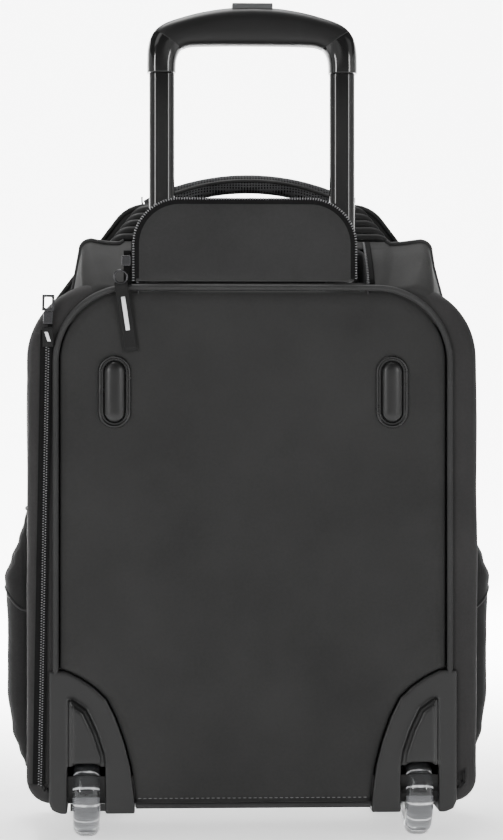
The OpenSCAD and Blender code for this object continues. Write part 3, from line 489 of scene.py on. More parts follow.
def softened(node, name, voxel, passes):
    """A copy of a moulded CAD part with its edges rounded as a mould leaves them."""
    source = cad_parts[node]
    piece = bpy.data.objects.new(name, source.data.copy())
    bpy.context.scene.collection.objects.link(piece)
    mesh = bmesh.new()
    mesh.from_mesh(piece.data)
    bmesh.ops.remove_doubles(mesh, verts=mesh.verts, dist=0.005 * mm)
    mesh.to_mesh(piece.data)
    mesh.free()
    shaped(piece, ("REMESH", {"mode": "VOXEL", "voxel_size": voxel, "adaptivity": 0.0}),
           ("SMOOTH", {"factor": 0.5, "iterations": passes}))
    piece.data.shade_smooth()
    return piece


guard_plastic = moulding("guard_plastic", (0.006, 0.006, 0.006), 0.36, 1300.0, 0.04, Specular_IOR_Level=0.3)
for side in ("left", "right"):
    guard = softened(f"wheel_guard_{side}", f"corner_guard_{side}", 1.0 * mm, 14)
    dressed(guard, "root", guard_plastic, "moulded_plastic", f"wheel_guard_{side}")


# ---------------------------------------------------------------------------
# Wheels. Clear polyurethane tyres cast on pale hubs, each with two ball
# bearings on a fixed steel axle.
# ---------------------------------------------------------------------------

def turned(name, centre, profile, steps=64):
    """A round piece: a profile of (radius, place across) turned about an axle across the case."""
    def place(u, v):
        a = math.tau * u
        radius, across = profile[round(v * (len(profile) - 1))]
        return centre + Vector((across, radius * math.cos(a), radius * math.sin(a)))
    return laid(name, steps, len(profile) - 1, place)


def grown_tyre():
    """Clear polyurethane: a little haze, and pale ribs inside it from side to side."""
    material, tree, shader = principled("clear_tyre", 0.1, IOR=1.45)
    place = tree.nodes.new("ShaderNodeTexCoord").outputs["Object"]
    _, y, z = wired(tree, "ShaderNodeSeparateXYZ", place).outputs
    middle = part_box("tyre_left")
    turn = math_of(tree, "ARCTAN2", math_of(tree, "SUBTRACT", z, (middle[0].z + middle[1].z) / 2),
                   math_of(tree, "SUBTRACT", y, (middle[0].y + middle[1].y) / 2))
    wave = math_of(tree, "SINE", math_of(tree, "MULTIPLY", turn, 14.0))
    haze = noise_of(tree, place, 160.0, 5.0, 0.7)
    rib = wired(tree, "ShaderNodeMapRange", math_of(tree, "ADD", wave, math_of(tree, "MULTIPLY", haze, 0.5)),
                1.12, 1.3, 0.0, 1.0).outputs[0]
    shade = blended(tree, rib, (0.72, 0.74, 0.76, 1), (0.85, 0.85, 0.86, 1))
    tree.links.new(shade, shader.inputs["Base Color"])
    tree.links.new(ranged(tree, haze, 0.04, 0.2), shader.inputs["Roughness"])
    tree.links.new(ranged(tree, rib, 0.97, 0.25), shader.inputs["Transmission Weight"])
    bumped(tree, shader, wave, 0.25, 0.4 * mm)
    return material


clear_tyre = grown_tyre()
hub_grey = moulding("hub_grey", (0.12, 0.12, 0.125), 0.3, 900.0, 0.1)
steel, steel_tree, steel_shader = principled("bright_steel", 0.28, Metallic=1.0)
steel_place = steel_tree.nodes.new("ShaderNodeTexCoord").outputs["Object"]
steel_marks = noise_of(steel_tree, steel_place, 600.0, 4.0, 0.7)
steel_tree.links.new(blended(steel_tree, steel_marks, (0.62, 0.63, 0.64, 1), (0.44, 0.45, 0.46, 1)),
                     steel_shader.inputs["Base Color"])
steel_tree.links.new(ranged(steel_tree, steel_marks, 0.2, 0.42), steel_shader.inputs["Roughness"])
hub_r = 20 * mm
for side in ("left", "right"):
    lo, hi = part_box(f"tyre_{side}")
    centre, wheel_r, half = (lo + hi) / 2, (hi.z - lo.z) / 2, (hi.x - lo.x) / 2
    crown = 8 * mm
    profile = [(hub_r, -half + 1.2 * mm), (hub_r + 1 * mm, -half), (wheel_r - crown, -half)]
    profile += [(wheel_r - crown + crown * math.sin(a), -half + crown * (1 - math.cos(a)))
                for a in (math.pi / 2 * i / 8 for i in range(1, 9))]
    profile += [(r, -x) for r, x in reversed(profile)]
    tyre = turned(f"clear_tyre_{side}", centre, profile + [profile[0]])
    dressed(tyre, f"wheel_{side}", clear_tyre, "wheel_clear", f"tyre_{side}")


def finish_node(node, material):
    """Gives a CAD part its real finish; its shape stays."""
    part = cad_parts[node]
    for i in range(max(len(part.material_slots), 1)):
        if part.material_slots:
            part.material_slots[i].material = material
        else:
            part.data.materials.append(material)


for side in ("left", "right"):
    finish_node(f"hub_{side}", hub_grey)
    finish_node(f"axle_{side}", steel)
    finish_node(f"bearings_{side}", steel)
finish_node("guard_screws", steel)


# ---------------------------------------------------------------------------
# Telescopic tubes. Drawn oval aluminium: gloss black inner tubes inside dark
# middle and outer tubes, with black collars, glides, foot block and bezel.
# ---------------------------------------------------------------------------

def anodised(name, colour, roughness, **constants):
    """Drawn aluminium: fine lines up the tube and a thin coat."""
    material, tree, shader = principled(name, roughness, **constants)
    place = tree.nodes.new("ShaderNodeTexCoord").outputs["Object"]
    stretch = tree.nodes.new("ShaderNodeMapping")
    tree.links.new(place, stretch.inputs["Vector"])
    stretch.inputs["Scale"].default_value = (1200.0, 1200.0, 9.0)
    lines = noise_of(tree, stretch.outputs["Vector"], 1.0, 2.0)
    marks = noise_of(tree, place, 60.0, 5.0)
    light = tuple(c * 1.9 + 0.004 for c in colour)
    tree.links.new(blended(tree, math_of(tree, "MULTIPLY", lines, marks), (*colour, 1), (*light, 1)),
                   shader.inputs["Base Color"])
    tree.links.new(ranged(tree, marks, roughness * 0.8, roughness * 1.5), shader.inputs["Roughness"])
    bumped(tree, shader, lines, 0.06, 0.02 * mm)
    return material


tube_black = anodised("tube_black", (0.0012, 0.0012, 0.0012), 0.08, Specular_IOR_Level=0.25)
tube_grey = anodised("tube_grey", (0.03, 0.03, 0.032), 0.3)
collar_black = moulding("collar_black", (0.008, 0.008, 0.008), 0.38, 1400.0, 0.08)
board_black = moulding("board_black", (0.02, 0.02, 0.02), 0.6, 500.0, 0.4)
finish_node("inner_tubes", tube_black)
finish_node("middle_tubes", tube_grey)
finish_node("outer_tubes", tube_grey)
for node in ("middle_collars", "inner_glides", "handle_foot", "handle_bezel"):
    finish_node(node, collar_black)
for node in ("lock_pin_left", "lock_pin_right", "button_spring", "grip_screws", "frame_hoop"):
    finish_node(node, steel)
finish_node("back_board", board_black)


# ---------------------------------------------------------------------------
# Grip. A gloss bridge on the two tubes, a soft-touch cover screwed on top of
# it and a grey release button in the middle of the cover.
# ---------------------------------------------------------------------------

gloss_black = moulding("gloss_black", (0.004, 0.004, 0.004), 0.12, 900.0, 0.02, 0.02, Specular_IOR_Level=0.35)
soft_touch = moulding("soft_touch", (0.005, 0.005, 0.005), 0.42, 2200.0, 0.02, Specular_IOR_Level=0.2)
button_grey = moulding("button_grey", (0.045, 0.046, 0.048), 0.38, 1600.0, 0.1)
grip_lo, grip_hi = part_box("grip_frame")
grip_middle = (grip_lo.y + grip_hi.y) / 2
grip_deep = (grip_hi.y - grip_lo.y) / 2
grip_stations = [((-85, 0.5), (-61.7, 0.5)), ((-85, 9), (-61.6, 7)), ((-84.6, 19), (-60.8, 12.5)),
                 ((-82.6, 28.5), (-59, 17)), ((-78.2, 35.5), (-56, 20)), ((-71.5, 40.5), (-51.5, 21.7)),
                 ((-61, 44.6), (-45, 22.4)), ((-42, 49.8), (-32, 22.7)), ((-21, 53.2), (-16, 22.9)),
                 ((0, 54.2), (0, 22.9))]


def grip_station(t):
    """Outer and inner edge of the grip at t: 0 at the left leg's foot, 1 at the right leg's."""
    half = t if t <= 0.5 else 1 - t
    place = half * 2 * (len(grip_stations) - 1)
    i = min(int(place), len(grip_stations) - 2)
    edges = []
    for side in (0, 1):
        p = [Vector(grip_stations[min(max(j, 0), len(grip_stations) - 1)][side]) for j in range(i - 1, i + 3)]
        f = place - i
        q = 0.5 * (2 * p[1] + (p[2] - p[0]) * f + (2 * p[0] - 5 * p[1] + 4 * p[2] - p[3]) * f * f
                   + (3 * p[1] - p[0] - 3 * p[2] + p[3]) * f ** 3)
        edges.append(Vector((q.x if t <= 0.5 else -q.x, q.y)))
    return edges


def grip_spot(u, t, grow):
    """The grip's skin: a squarish round section at t, grown outwards by a little."""
    outer, inner = grip_station(t)
    middle, reach = (outer + inner) / 2, (outer - inner) / 2
    a = math.tau * u
    along = math.copysign(abs(math.cos(a)) ** 0.72, math.cos(a)) * (1 + grow / reach.length)
    deep = math.copysign(abs(math.sin(a)) ** 0.72, math.sin(a)) * (grip_deep - 0.6 * mm + grow)
    flat = middle + reach * along
    return Vector((flat.x * mm, grip_middle + deep, grip_lo.z + flat.y * mm))


def grip_shell(name, start, end, rows, grow):
    """A stretch of the grip, closed at both ends."""
    shell = laid(name, 40, rows, lambda u, v: grip_spot(u, start + (end - start) * v, grow * mm))
    mesh = bmesh.new()
    mesh.from_mesh(shell.data)
    bmesh.ops.holes_fill(mesh, edges=mesh.edges, sides=0)
    bmesh.ops.recalc_face_normals(mesh, faces=mesh.faces)
    mesh.to_mesh(shell.data)
    mesh.free()
    return shaped(shell, ("BEVEL", {"width": 0.6 * mm, "segments": 2, "limit_method": "ANGLE",
                                    "angle_limit": math.radians(50)}))


seam_at = 0.215
for word, start, end in (("left", 0.0, seam_at + 0.01), ("right", 0.99 - seam_at, 1.0)):
    leg = grip_shell(f"grip_leg_{word}", start, end, 26, 0.0)
    dressed(leg, "handle_upper", gloss_black, "grip_gloss", "grip_frame")
grip_top = grip_shell("grip_soft_cover", seam_at, 1 - seam_at, 60, 0.35)
dressed(grip_top, "handle_upper", soft_touch, "grip_soft", "grip_cover")


def joined(name, *parts):
    """Several parts made one piece."""
    bpy.ops.object.select_all(action="DESELECT")
    for part in parts:
        part.select_set(True)
    bpy.context.view_layer.objects.active = parts[0]
    bpy.ops.object.join()
    parts[0].name = name
    return parts[0]


def upright_bar(name, middle, size, round_bar):
    """A straight bar or rod of a size, about its middle."""
    bpy.ops.object.select_all(action="DESELECT")
    if round_bar:
        bpy.ops.mesh.primitive_cylinder_add(vertices=20, radius=0.5, depth=1)
    else:
        bpy.ops.mesh.primitive_cube_add(size=1)
    bar = bpy.context.object
    bar.name = name
    bar.data.transform(Matrix.Translation(middle) @ Matrix.Diagonal((*size, 1)))
    return bar


rods_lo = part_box("lock_rods")[0]
rod_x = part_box("inner_tubes")[1].x - 10.2 * mm
lock_top = grip_lo.z + 33 * mm
bar_high = 5 * mm
bar_z = lock_top - bar_high / 2
screws_lo, screws_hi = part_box("grip_screws")
slot_half = (screws_hi.y - screws_lo.y) / 2 + 0.5 * mm
lock_parts = []
for side, word in ((-1, "back"), (1, "front")):
    strip_y = (screws_lo.y + screws_hi.y) / 2 + side * (slot_half + 0.7 * mm)
    strip_size = (2 * rod_x, 1.4 * mm, bar_high)
    lock_parts.append(upright_bar(f"lock_bar_{word}", Vector((0, strip_y, bar_z)), strip_size, False))
for side, word in ((-1, "left"), (1, "right")):
    end_middle = Vector((side * (rod_x - 2 * mm), grip_middle, bar_z))
    end_size = (4 * mm, 2 * slot_half + 1 * mm, bar_high)
    lock_parts.append(upright_bar(f"lock_end_{word}", end_middle, end_size, False))
    rod_middle = Vector((side * rod_x, grip_middle, (rods_lo.z + lock_top) / 2))
    rod_size = (3 * mm, 3 * mm, lock_top - rods_lo.z)
    lock_parts.append(upright_bar(f"lock_rod_{word}", rod_middle, rod_size, True))
dressed(joined("lock_bar_and_rods", *lock_parts), "release_button", steel, "steel", "lock_rods")
button = softened("release_button", "grip_button", 0.6 * mm, 5)
dressed(button, "release_button", button_grey, "button_grey", "release_button")


# ---------------------------------------------------------------------------
# Back section. The case's rear gusset and face in one skin, sewn to the panel's
# piping, turned round the edge and run forward to the main compartment. On the
# left side it stops at the zip of the laptop flap.
# ---------------------------------------------------------------------------

def hull_ring(circles, count):
    """Points evenly spaced round a hull of circles (x, z, radius), with outward normals."""
    corners = []
    for i in range(1440):
        a = math.tau * i / 1440
        way = Vector((math.sin(a), -math.cos(a)))
        x, z, r = max(circles, key=lambda c: c[0] * way.x + c[1] * way.y + c[2])
        corners.append(Vector((x, z)) + r * way)
    corners.append(corners[0].copy())
    total = sum((b - a).length for a, b in zip(corners, corners[1:]))
    ring = [p for p, _ in spaced(corners, total / count * 1.0000001)][:count]
    normals = []
    for i, p in enumerate(ring):
        along = ring[(i + 1) % count] - ring[i - 1]
        normals.append(Vector((along.y, -along.x)).normalized())
    return list(zip(ring, normals))


rear_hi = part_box("rear_shell")[1]
main_lo, main_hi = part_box("main_shell")
case_half = main_hi.x
back_top = panel_hi.z + 6 * mm
case_foot = main_lo.z
rear_face = 3 * mm
rear_edge = 10 * mm
rear_depth = 75 * mm
corner_r = 60 * mm
foot_r = 20 * mm
body_circles = [(s * (case_half - corner_r), back_top - corner_r, corner_r) for s in (-1, 1)]
body_circles += [(s * (case_half - foot_r), case_foot + foot_r, foot_r) for s in (-1, 1)]
body_ring = hull_ring(body_circles, 320)
zip_x, zip_z, zip_lean = 164 * mm, 417 * mm, math.tan(math.radians(1))
flap_foot, flap_top = 44 * mm, 408 * mm
flap_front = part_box("side_flap")[1].y - face_y


def zip_inset(z):
    """How far the zip line lies inside the case's side at a height."""
    return case_half - zip_x - (zip_z - z) * zip_lean


def rear_spot(i, step):
    """The rear skin: across the face, round the edge and forward along the side."""
    point, normal = body_ring[i]
    crease = 0.7 * mm * noise.noise(Vector((point.x * 25, point.y * 18, step * 0.4)))
    turn = 6
    if step <= 4:
        inset = [22.5 * mm, 21 * mm, 19 * mm, zip_inset(point.y), (zip_inset(point.y) + rear_edge) / 2][step]
        depth = rear_face + (0.2 * mm if step == 1 else 0)
    elif step <= 4 + turn:
        a = math.pi / 2 * (step - 4) / turn
        inset, depth = rear_edge * (1 - math.sin(a)), rear_face + rear_edge * (1 - math.cos(a))
        crease *= 1.5
    else:
        share = (step - 4 - turn) / 8
        start = rear_face + rear_edge
        end = flap_front + 0.2 * mm
        inset = -1.2 * mm * math.sin(math.pi * share)
        depth = start + (end - start) * share if step < 18 else end
        if step == 19:
            inset, depth = 0.4 * mm, rear_depth
    inset += crease * (0 if step < 4 or step > 17 else 1)
    return spot(point.x - inset * normal.x, depth, point.y - inset * normal.y)


shell_cloth = cloth("shell_cloth", (0.012, 0.012, 0.012), (0.032, 0.031, 0.031), 900.0, 0.8)


def skin_of(name, cells, place, flip=True):
    """A skin made only of the wanted cells of a grid; cells are (column, row) pairs."""
    columns = sorted({c for c, _ in cells} | {c + 1 for c, _ in cells})
    rows = sorted({r for _, r in cells} | {r + 1 for _, r in cells})
    first_c, first_r = columns[0], rows[0]
    wide, high = columns[-1] - first_c, rows[-1] - first_r
    bpy.ops.object.select_all(action="DESELECT")
    bpy.ops.mesh.primitive_grid_add(x_subdivisions=wide, y_subdivisions=high, size=1)
    piece = bpy.context.object
    piece.name = name
    mesh = bmesh.new()
    mesh.from_mesh(piece.data)
    extra = []
    for face in mesh.faces:
        middle = face.calc_center_median()
        cell = (first_c + int((middle.x + 0.5) * wide), first_r + int((middle.y + 0.5) * high))
        if cell not in cells:
            extra.append(face)
    bmesh.ops.delete(mesh, geom=extra, context="FACES")
    for vertex in mesh.verts:
        column = first_c + round((vertex.co.x + 0.5) * wide)
        row = first_r + round((vertex.co.y + 0.5) * high)
        vertex.co = place(column, row)
    bmesh.ops.remove_doubles(mesh, verts=mesh.verts, dist=0.01 * mm)
    if flip:
        bmesh.ops.reverse_faces(mesh, faces=mesh.faces)
    mesh.to_mesh(piece.data)
    mesh.free()
    piece.data.shade_smooth()
    return piece


ring_count = len(body_ring)
rear_cells, flap_cells = set(), set()
for i in range(ring_count):
    middle = (body_ring[i][0] + body_ring[(i + 1) % ring_count][0]) / 2
    for step in range(19):
        if middle.x < 0 and flap_foot < middle.y < flap_top and 3 <= step < 18:
            flap_cells.add((i, step))
        elif not (abs(middle.x) < 96 * mm and middle.y > 400 * mm) or step > 17:
            rear_cells.add((i, step))
rear = skin_of("rear_gusset", rear_cells, lambda c, r: rear_spot(c % ring_count, r))
lined(rear, 2.2 * mm)
dressed(rear, "root", shell_cloth, "shell_fabric", "rear_shell")
side_flap = skin_of("laptop_flap", flap_cells, lambda c, r: rear_spot(c % ring_count, r))
lined(side_flap, 2.2 * mm)
dressed(side_flap, "side_flap", shell_cloth, "shell_fabric", "side_flap")


# ---------------------------------------------------------------------------
# Shoulder. A softly padded slope from the panel's top edge up to the ridge,
# with rounded ends, split in the middle by the bay that the grip stows in.
# ---------------------------------------------------------------------------

ridge_z = rear_hi.z
shoulder_left, shoulder_right = 138.5 * mm, 148 * mm
shoulder_splay = 0.22
bay_half = 92.5 * mm
bay_front = 45 * mm
bay_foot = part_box("handle_bezel")[0].z


def shoulder_top(depth):
    """Height of the slope at a depth."""
    rise = min(max((depth - 5 * mm) / (52 * mm), 0), 1)
    top = back_top - 2 * mm + (ridge_z - back_top + 2 * mm) * (rise ** 0.9)
    puff = 2.2 * mm * math.sin(math.pi * rise)
    past = max(depth - 60 * mm, 0)
    return top + puff - past * past / (22 * mm) - (6 * mm if depth < 3.5 * mm else 0)


def shoulder_spot(column, row):
    """The shoulder: columns from the left foot over the slope to the right, rows going forward."""
    depth = [3, 4.5, 7, 11, 16, 21, 26, 31, 36, 41, 45, 49, 53, 57, 60, 63, 66, 70, 75][row] * mm
    top = shoulder_top(depth)
    side = -1 if column < 30 else 1
    half = shoulder_left if side < 0 else shoulder_right
    half -= 5 * mm * (1 - min(depth / (30 * mm), 1)) ** 2
    turn = 8 * mm + 8 * mm * (1 - min(depth / (40 * mm), 1))
    flat = half - turn
    k = 30 - column if column < 30 else column - 30
    if k <= 16:
        edges = [0, 20, 40, 60, 75, 85, 92.5, 96, 99, 102, 105, 108, 111, 114, 117, 119, 121]
        x, z = edges[k] * mm * flat / (121 * mm) if k > 6 else edges[k] * mm, top
        fold = 1.0 * mm * noise.noise(Vector((x * 30, depth * 60, side * 3.0)))
        sag = 2.2 * mm * math.sin(math.pi * min(max((x - bay_half) / (flat - bay_half), 0), 1))
        z += fold - sag if k > 7 else 0
    elif k <= 26:
        a = math.pi / 2 * (k - 16) / 10
        x = flat + turn * math.sin(a)
        z = top - turn * (1 - math.cos(a))
    else:
        z = top - turn - (k - 26) * (top - turn - 424 * mm) / 4
        x = flat + turn + (top - turn - z) * shoulder_splay
    if k > 16:
        x += 1.2 * mm * noise.noise(Vector((depth * 60, z * 40, side * 5.0)))
    return spot(side * x, depth, z)


shoulder_cells = set()
for column in range(60):
    inside = 24 <= column < 36
    for row in range(18):
        if not (inside and row < 10):
            shoulder_cells.add((column, row))
shoulder = skin_of("padded_shoulder", shoulder_cells, shoulder_spot, flip=False)
lined(shoulder, 2.5 * mm)
shoulder_cloth = cloth("shoulder_cloth", (0.013, 0.013, 0.013), (0.030, 0.030, 0.0295), 900.0, 0.78)
dressed(shoulder, "root", shoulder_cloth, "shell_fabric")


for word, columns in (("left", range(1, 24)), ("right", range(37, 60))):
    ridge_line = [shoulder_spot(c, 13) + Vector((0, 0, 0.3 * mm)) for c in columns]
    dressed(tube(f"ridge_piping_{word}", ridge_line, 2 * mm), "root", piping_cloth, "piping")


def bay_spot(u, v):
    """The bay's lining: down one side, across the front and up the other side."""
    corner = 8 * mm
    line = [(bay_half, 1 * mm), (bay_half, bay_front / 2), (bay_half, bay_front - corner)]
    line += [(bay_half - corner * (1 - math.cos(a)), bay_front - corner + corner * math.sin(a))
             for a in (math.pi / 2 * i / 5 for i in range(1, 6))]
    line += [(-x, d) for x, d in reversed(line)]
    x, depth = line[round(u * (len(line) - 1))]
    top = shoulder_top(depth) - 0.6 * mm
    return spot(x, depth, bay_foot + (top - bay_foot) * v)


lining_cloth = cloth("lining_cloth", (0.022, 0.022, 0.023), (0.045, 0.045, 0.046), 1100.0, 0.85)
bay = laid("bay_lining", 15, 8, bay_spot)
lined(bay, 1.2 * mm)
dressed(bay, "root", lining_cloth, "shell_fabric")


# ---------------------------------------------------------------------------
# Side zip. Black coil zip let into the rear face beside the piping; its slider
# has a bright framed puller with a webbing tail.
# ---------------------------------------------------------------------------

def ribbon(name, points, across, width, thickness):
    """A flat band along a line of points; across gives its width's direction, fixed or per point."""
    def place(u, v):
        i = round(v * (len(points) - 1))
        way = across[i] if isinstance(across, list) else across
        return points[i] + way * (u - 0.5) * width
    band = laid(name, 6, len(points) - 1, place)
    return shaped(band, ("SOLIDIFY", {"thickness": thickness, "offset": 0}))


def teeth(name, points, up, pitch=2.1 * mm, wide=2.6 * mm, high=1.3 * mm):
    """A zip coil: one bead for each turn of the coil."""
    bead = pattern_ball(name, (1.15 * mm, wide, high), 6, 4)
    return repeated(bead, [set_at(p, along, up) for p, along in spaced(points, pitch)])


def webbing(name, dark, light):
    """Woven webbing: bold ribs across the band."""
    return cloth(name, dark, light, 520.0, 0.7, 0.6, 0.06)


zip_black = cloth("zip_black", (0.004, 0.004, 0.004), (0.009, 0.009, 0.009), 1500.0, 0.7, 0.3, 0.03)
# Every zip coil is a black coil painted mid grey: a painted highlight that stands in for the glints on its
# beads.
coil_painted_highlight = moulding("coil_painted_highlight", (0.13, 0.13, 0.135), 0.2, 2000.0, 0.1)
web_black = webbing("web_black", (0.007, 0.007, 0.007), (0.020, 0.020, 0.020))
zip_depth = rear_face - 1.1 * mm


def zip_line(offset, foot, top, depth=zip_depth, steps=40):
    """A line beside the side zip, on the rear face."""
    heights = [foot + (top - foot) * i / steps for i in range(steps + 1)]
    return [spot(-case_half + zip_inset(z) + offset, depth, z) for z in heights]


fixed_line = zip_line(1.9 * mm, flap_foot, flap_top + 10 * mm)
fixed_tape = ribbon("side_zip_tape_fixed", fixed_line, RIGHT, 3.6 * mm, 0.7 * mm)
dressed(fixed_tape, "root", zip_black, "zip_tape", "side_zip_fixed")
coil_depth = zip_depth - 0.5 * mm
fixed_coil_line = zip_line(0.85 * mm, flap_foot, flap_top + 3 * mm, coil_depth)
fixed_coil = teeth("side_zip_coil_fixed", fixed_coil_line, BACK, wide=1.7 * mm)
dressed(fixed_coil, "root", coil_painted_highlight, "zip_tape")
flap_tape_line = zip_line(-3.4 * mm, flap_foot + 1 * mm, flap_top - 0.6 * mm)
flap_tape = ribbon("side_zip_tape_flap", flap_tape_line, RIGHT, 5 * mm, 0.7 * mm)
dressed(flap_tape, "side_flap", zip_black, "zip_tape", "side_flap_zip")
flap_coil_line = zip_line(-1.0 * mm, flap_foot + 1 * mm, flap_top - 1 * mm, coil_depth)
flap_coil = teeth("side_zip_coil_flap", flap_coil_line, BACK, wide=1.7 * mm)
dressed(flap_coil, "side_flap", coil_painted_highlight, "zip_tape")

nickel = moulding("black_nickel", (0.035, 0.035, 0.037), 0.22, 3000.0, 0.1, 0.05, Metallic=0.8)


side_slider = softened("side_slider", "side_zip_slider", 0.45 * mm, 8)
dressed(side_slider, "side_slider", nickel, "zip_metal", "side_slider")
side_puller = softened("side_puller", "side_zip_puller", 0.3 * mm, 4)
dressed(side_puller, "side_slider", nickel, "zip_metal", "side_puller")
strap_lo, strap_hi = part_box("side_strap")
strap_mid = (strap_lo + strap_hi) / 2
strap_line = []
for i in range(9):
    strap_z = strap_hi.z + (strap_lo.z - strap_hi.z) * i / 8
    strap_line.append(Vector((strap_mid.x + 0.25 * mm * i / 8, strap_mid.y, strap_z)))
side_strap = ribbon("side_zip_tail", strap_line, RIGHT, 8.6 * mm, 1.4 * mm)
dressed(side_strap, "side_pull", web_black, "webbing", "side_strap")


# ---------------------------------------------------------------------------
# Cover flap. The zipped cover of the grip bay, undone and standing: cloth over
# thin foam, with a band of zip tape and its coil sewn round the curved edge.
# ---------------------------------------------------------------------------

flap_lo, flap_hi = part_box("cover_flap_zip")
cover_mid = (flap_lo.x + flap_hi.x) / 2
cover_half = (flap_hi.x - flap_lo.x) / 2
cover_foot, cover_top = flap_lo.z, flap_hi.z
cover_r = 38 * mm
cover_band = 6 * mm
cover_depth = (flap_lo.y + flap_hi.y) / 2 - face_y


def cover_reach(z, inset):
    """Half the cover's width at a height, inside an inset from its edge."""
    rise = max(z - (cover_top - cover_r), 0)
    return cover_half - cover_r + math.sqrt(max((cover_r - inset) ** 2 - rise ** 2, 0))


def cover_spot(u, v, inset, puff):
    """How far the cover's cloth swells, and its x and height, across its arched outline."""
    high = cover_top - cover_r
    top = cover_top - inset
    if v < 0.5:
        z = cover_foot + (high - cover_foot) * v / 0.5
    else:
        z = high + (top - high) * math.sin((v - 0.5) / 0.5 * math.pi / 2)
    x = (2 * u - 1) * cover_reach(z, inset)
    out, up = abs(x) - (cover_half - cover_r), z - high
    edge = cover_r - inset - math.hypot(max(out, 0), max(up, 0)) if out > 0 and up > 0 else min(
        cover_reach(z, inset) - abs(x), top - z)
    edge = max(min(edge, z - cover_foot + 2 * mm), 0)
    swell = puff * min(edge / (7 * mm), 1) ** 0.6
    wave = 0.35 * mm * noise.noise(Vector((x * 22, 7.0, z * 26))) * min(edge / (8 * mm), 1)
    return swell + wave, x, z


def cover_side(u, v, sign, puff):
    """One face of the cover: sign -1 is the back and 1 the front."""
    swell, x, z = cover_spot(u, v, cover_band - 0.6 * mm, puff)
    return spot(cover_mid + x, cover_depth + sign * (0.7 * mm + swell), z)


cover_back = laid("cover_back", 56, 26, lambda u, v: cover_side(u, v, -1, 1.1 * mm))
cover_front = laid("cover_front", 56, 26, lambda u, v: cover_side(u, v, 1, 0.5 * mm), flip=True)
cover = joined("cover_flap_padded", cover_back, cover_front)
cover_cloth = cloth("cover_cloth", (0.012, 0.012, 0.012), (0.030, 0.030, 0.030))
dressed(cover, "cover_flap", cover_cloth, "cover_fabric", "cover_flap")


def cover_edge(inset, depth):
    """The curved edge of the cover, from its left foot over the top to its right foot."""
    half, turn = cover_half - inset, cover_r - inset
    straight = cover_top - cover_r - cover_foot
    line = [spot(cover_mid - half, depth, cover_foot + straight * i / 6) for i in range(6)]
    for i in range(17):
        a = math.pi / 2 * i / 16
        line.append(spot(cover_mid - (cover_half - cover_r) - turn * math.cos(a), depth,
                         cover_top - cover_r + turn * math.sin(a)))
    mirrored = [Vector((2 * cover_mid - p.x, p.y, p.z)) for p in reversed(line)]
    return line + mirrored


def edge_normals(points):
    """Directions out of the cover's edge, in its plane."""
    ways = []
    for i in range(len(points)):
        along = points[min(i + 1, len(points) - 1)] - points[max(i - 1, 0)]
        ways.append(BACK.cross(along).normalized())
    return ways


band_line = cover_edge(cover_band / 2 + 0.6 * mm, cover_depth)
band = ribbon("cover_zip_tape", band_line, edge_normals(band_line), cover_band, 1.0 * mm)
dressed(band, "cover_flap", zip_black, "zip_tape", "cover_flap_zip")
cover_coil_line = cover_edge(1.0 * mm, cover_depth - 0.55 * mm)
cover_coil = teeth("cover_zip_coil", cover_coil_line, BACK, wide=2.2 * mm, high=1.7 * mm)
dressed(cover_coil, "cover_flap", coil_painted_highlight, "zip_tape")
hem_half = cover_half - 3 * mm
hem_line = [spot(cover_mid + (2 * i / 30 - 1) * hem_half, cover_depth + 0.2 * mm, cover_foot + 0.6 * mm)
            for i in range(31)]
hem = tube("cover_hinge_seam", hem_line, 1.3 * mm)
dressed(hem, "cover_flap", piping_cloth, "piping")


# ---------------------------------------------------------------------------
# Cover zip's other half. Tape sewn along the bay's rim, with the slider parked
# at its left end, a wire ring through it and a webbing tail hanging from that.
# ---------------------------------------------------------------------------

tape_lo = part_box("cover_tape")[0]


def rim_tape(side):
    """The tape up one side of the bay, on the slope of the shoulder."""
    depths = [6 + 4 * i for i in range(13)]
    return [spot(side * (bay_half + 2.6 * mm), d * mm, shoulder_top(d * mm) + 0.9 * mm) for d in depths]


rim_left = ribbon("bay_zip_tape_left", rim_tape(-1), RIGHT, 5.4 * mm, 0.8 * mm)
dressed(rim_left, "root", zip_black, "zip_tape", "cover_tape")
rim_right = ribbon("bay_zip_tape_right", rim_tape(1), RIGHT, 5.4 * mm, 0.8 * mm)
dressed(rim_right, "root", zip_black, "zip_tape", "cover_tape")
for side, word in ((-1, "left"), (1, "right")):
    coil_line = [p + Vector((-side * 2.4 * mm, 0, 0.4 * mm)) for p in rim_tape(side)]
    dressed(teeth(f"bay_zip_coil_{word}", coil_line, UP), "root", coil_painted_highlight, "zip_tape")
stub_line = [spot(tape_lo.x + 3.4 * mm, -0.4 * mm + 1.8 * mm * (1 - i / 10) ** 2,
                  cover_foot - 6 * mm + (24 * mm + 6 * mm) * i / 10) for i in range(11)]
stub = ribbon("cover_zip_stub", stub_line, RIGHT, 6.4 * mm, 0.9 * mm)
dressed(stub, "root", zip_black, "zip_tape")
cover_slider = softened("cover_slider", "cover_zip_slider", 0.35 * mm, 8)
dressed(cover_slider, "cover_slider", nickel, "zip_metal", "cover_slider")
finish_node("cover_ring", nickel)
pull_lo, pull_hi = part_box("cover_strap")
pull_y = (pull_lo.y + pull_hi.y) / 2
lean = math.radians(8.5)
pull_ring_lo, pull_ring_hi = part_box("cover_ring")
ring_mid = (pull_ring_lo + pull_ring_hi) / 2
pull_way = Vector((math.cos(lean), 0, math.sin(lean)))
pull_down = Vector((math.sin(lean), 0, -math.cos(lean)))
pull_start = Vector((ring_mid.x, pull_y, pull_ring_lo.z + 2.2 * mm))
pull_line = [pull_start + pull_down * (56 * mm) * i / 14
             + BACK * (0.5 * mm * math.sin(i * 0.45)) for i in range(15)]
cover_pull = ribbon("cover_zip_tail", pull_line, pull_way, 10.6 * mm, 1.6 * mm)
dressed(cover_pull, "cover_pull", web_black, "webbing", "cover_strap")
reflective, reflect_tree, reflect_shader = principled("reflective_white", 0.45)
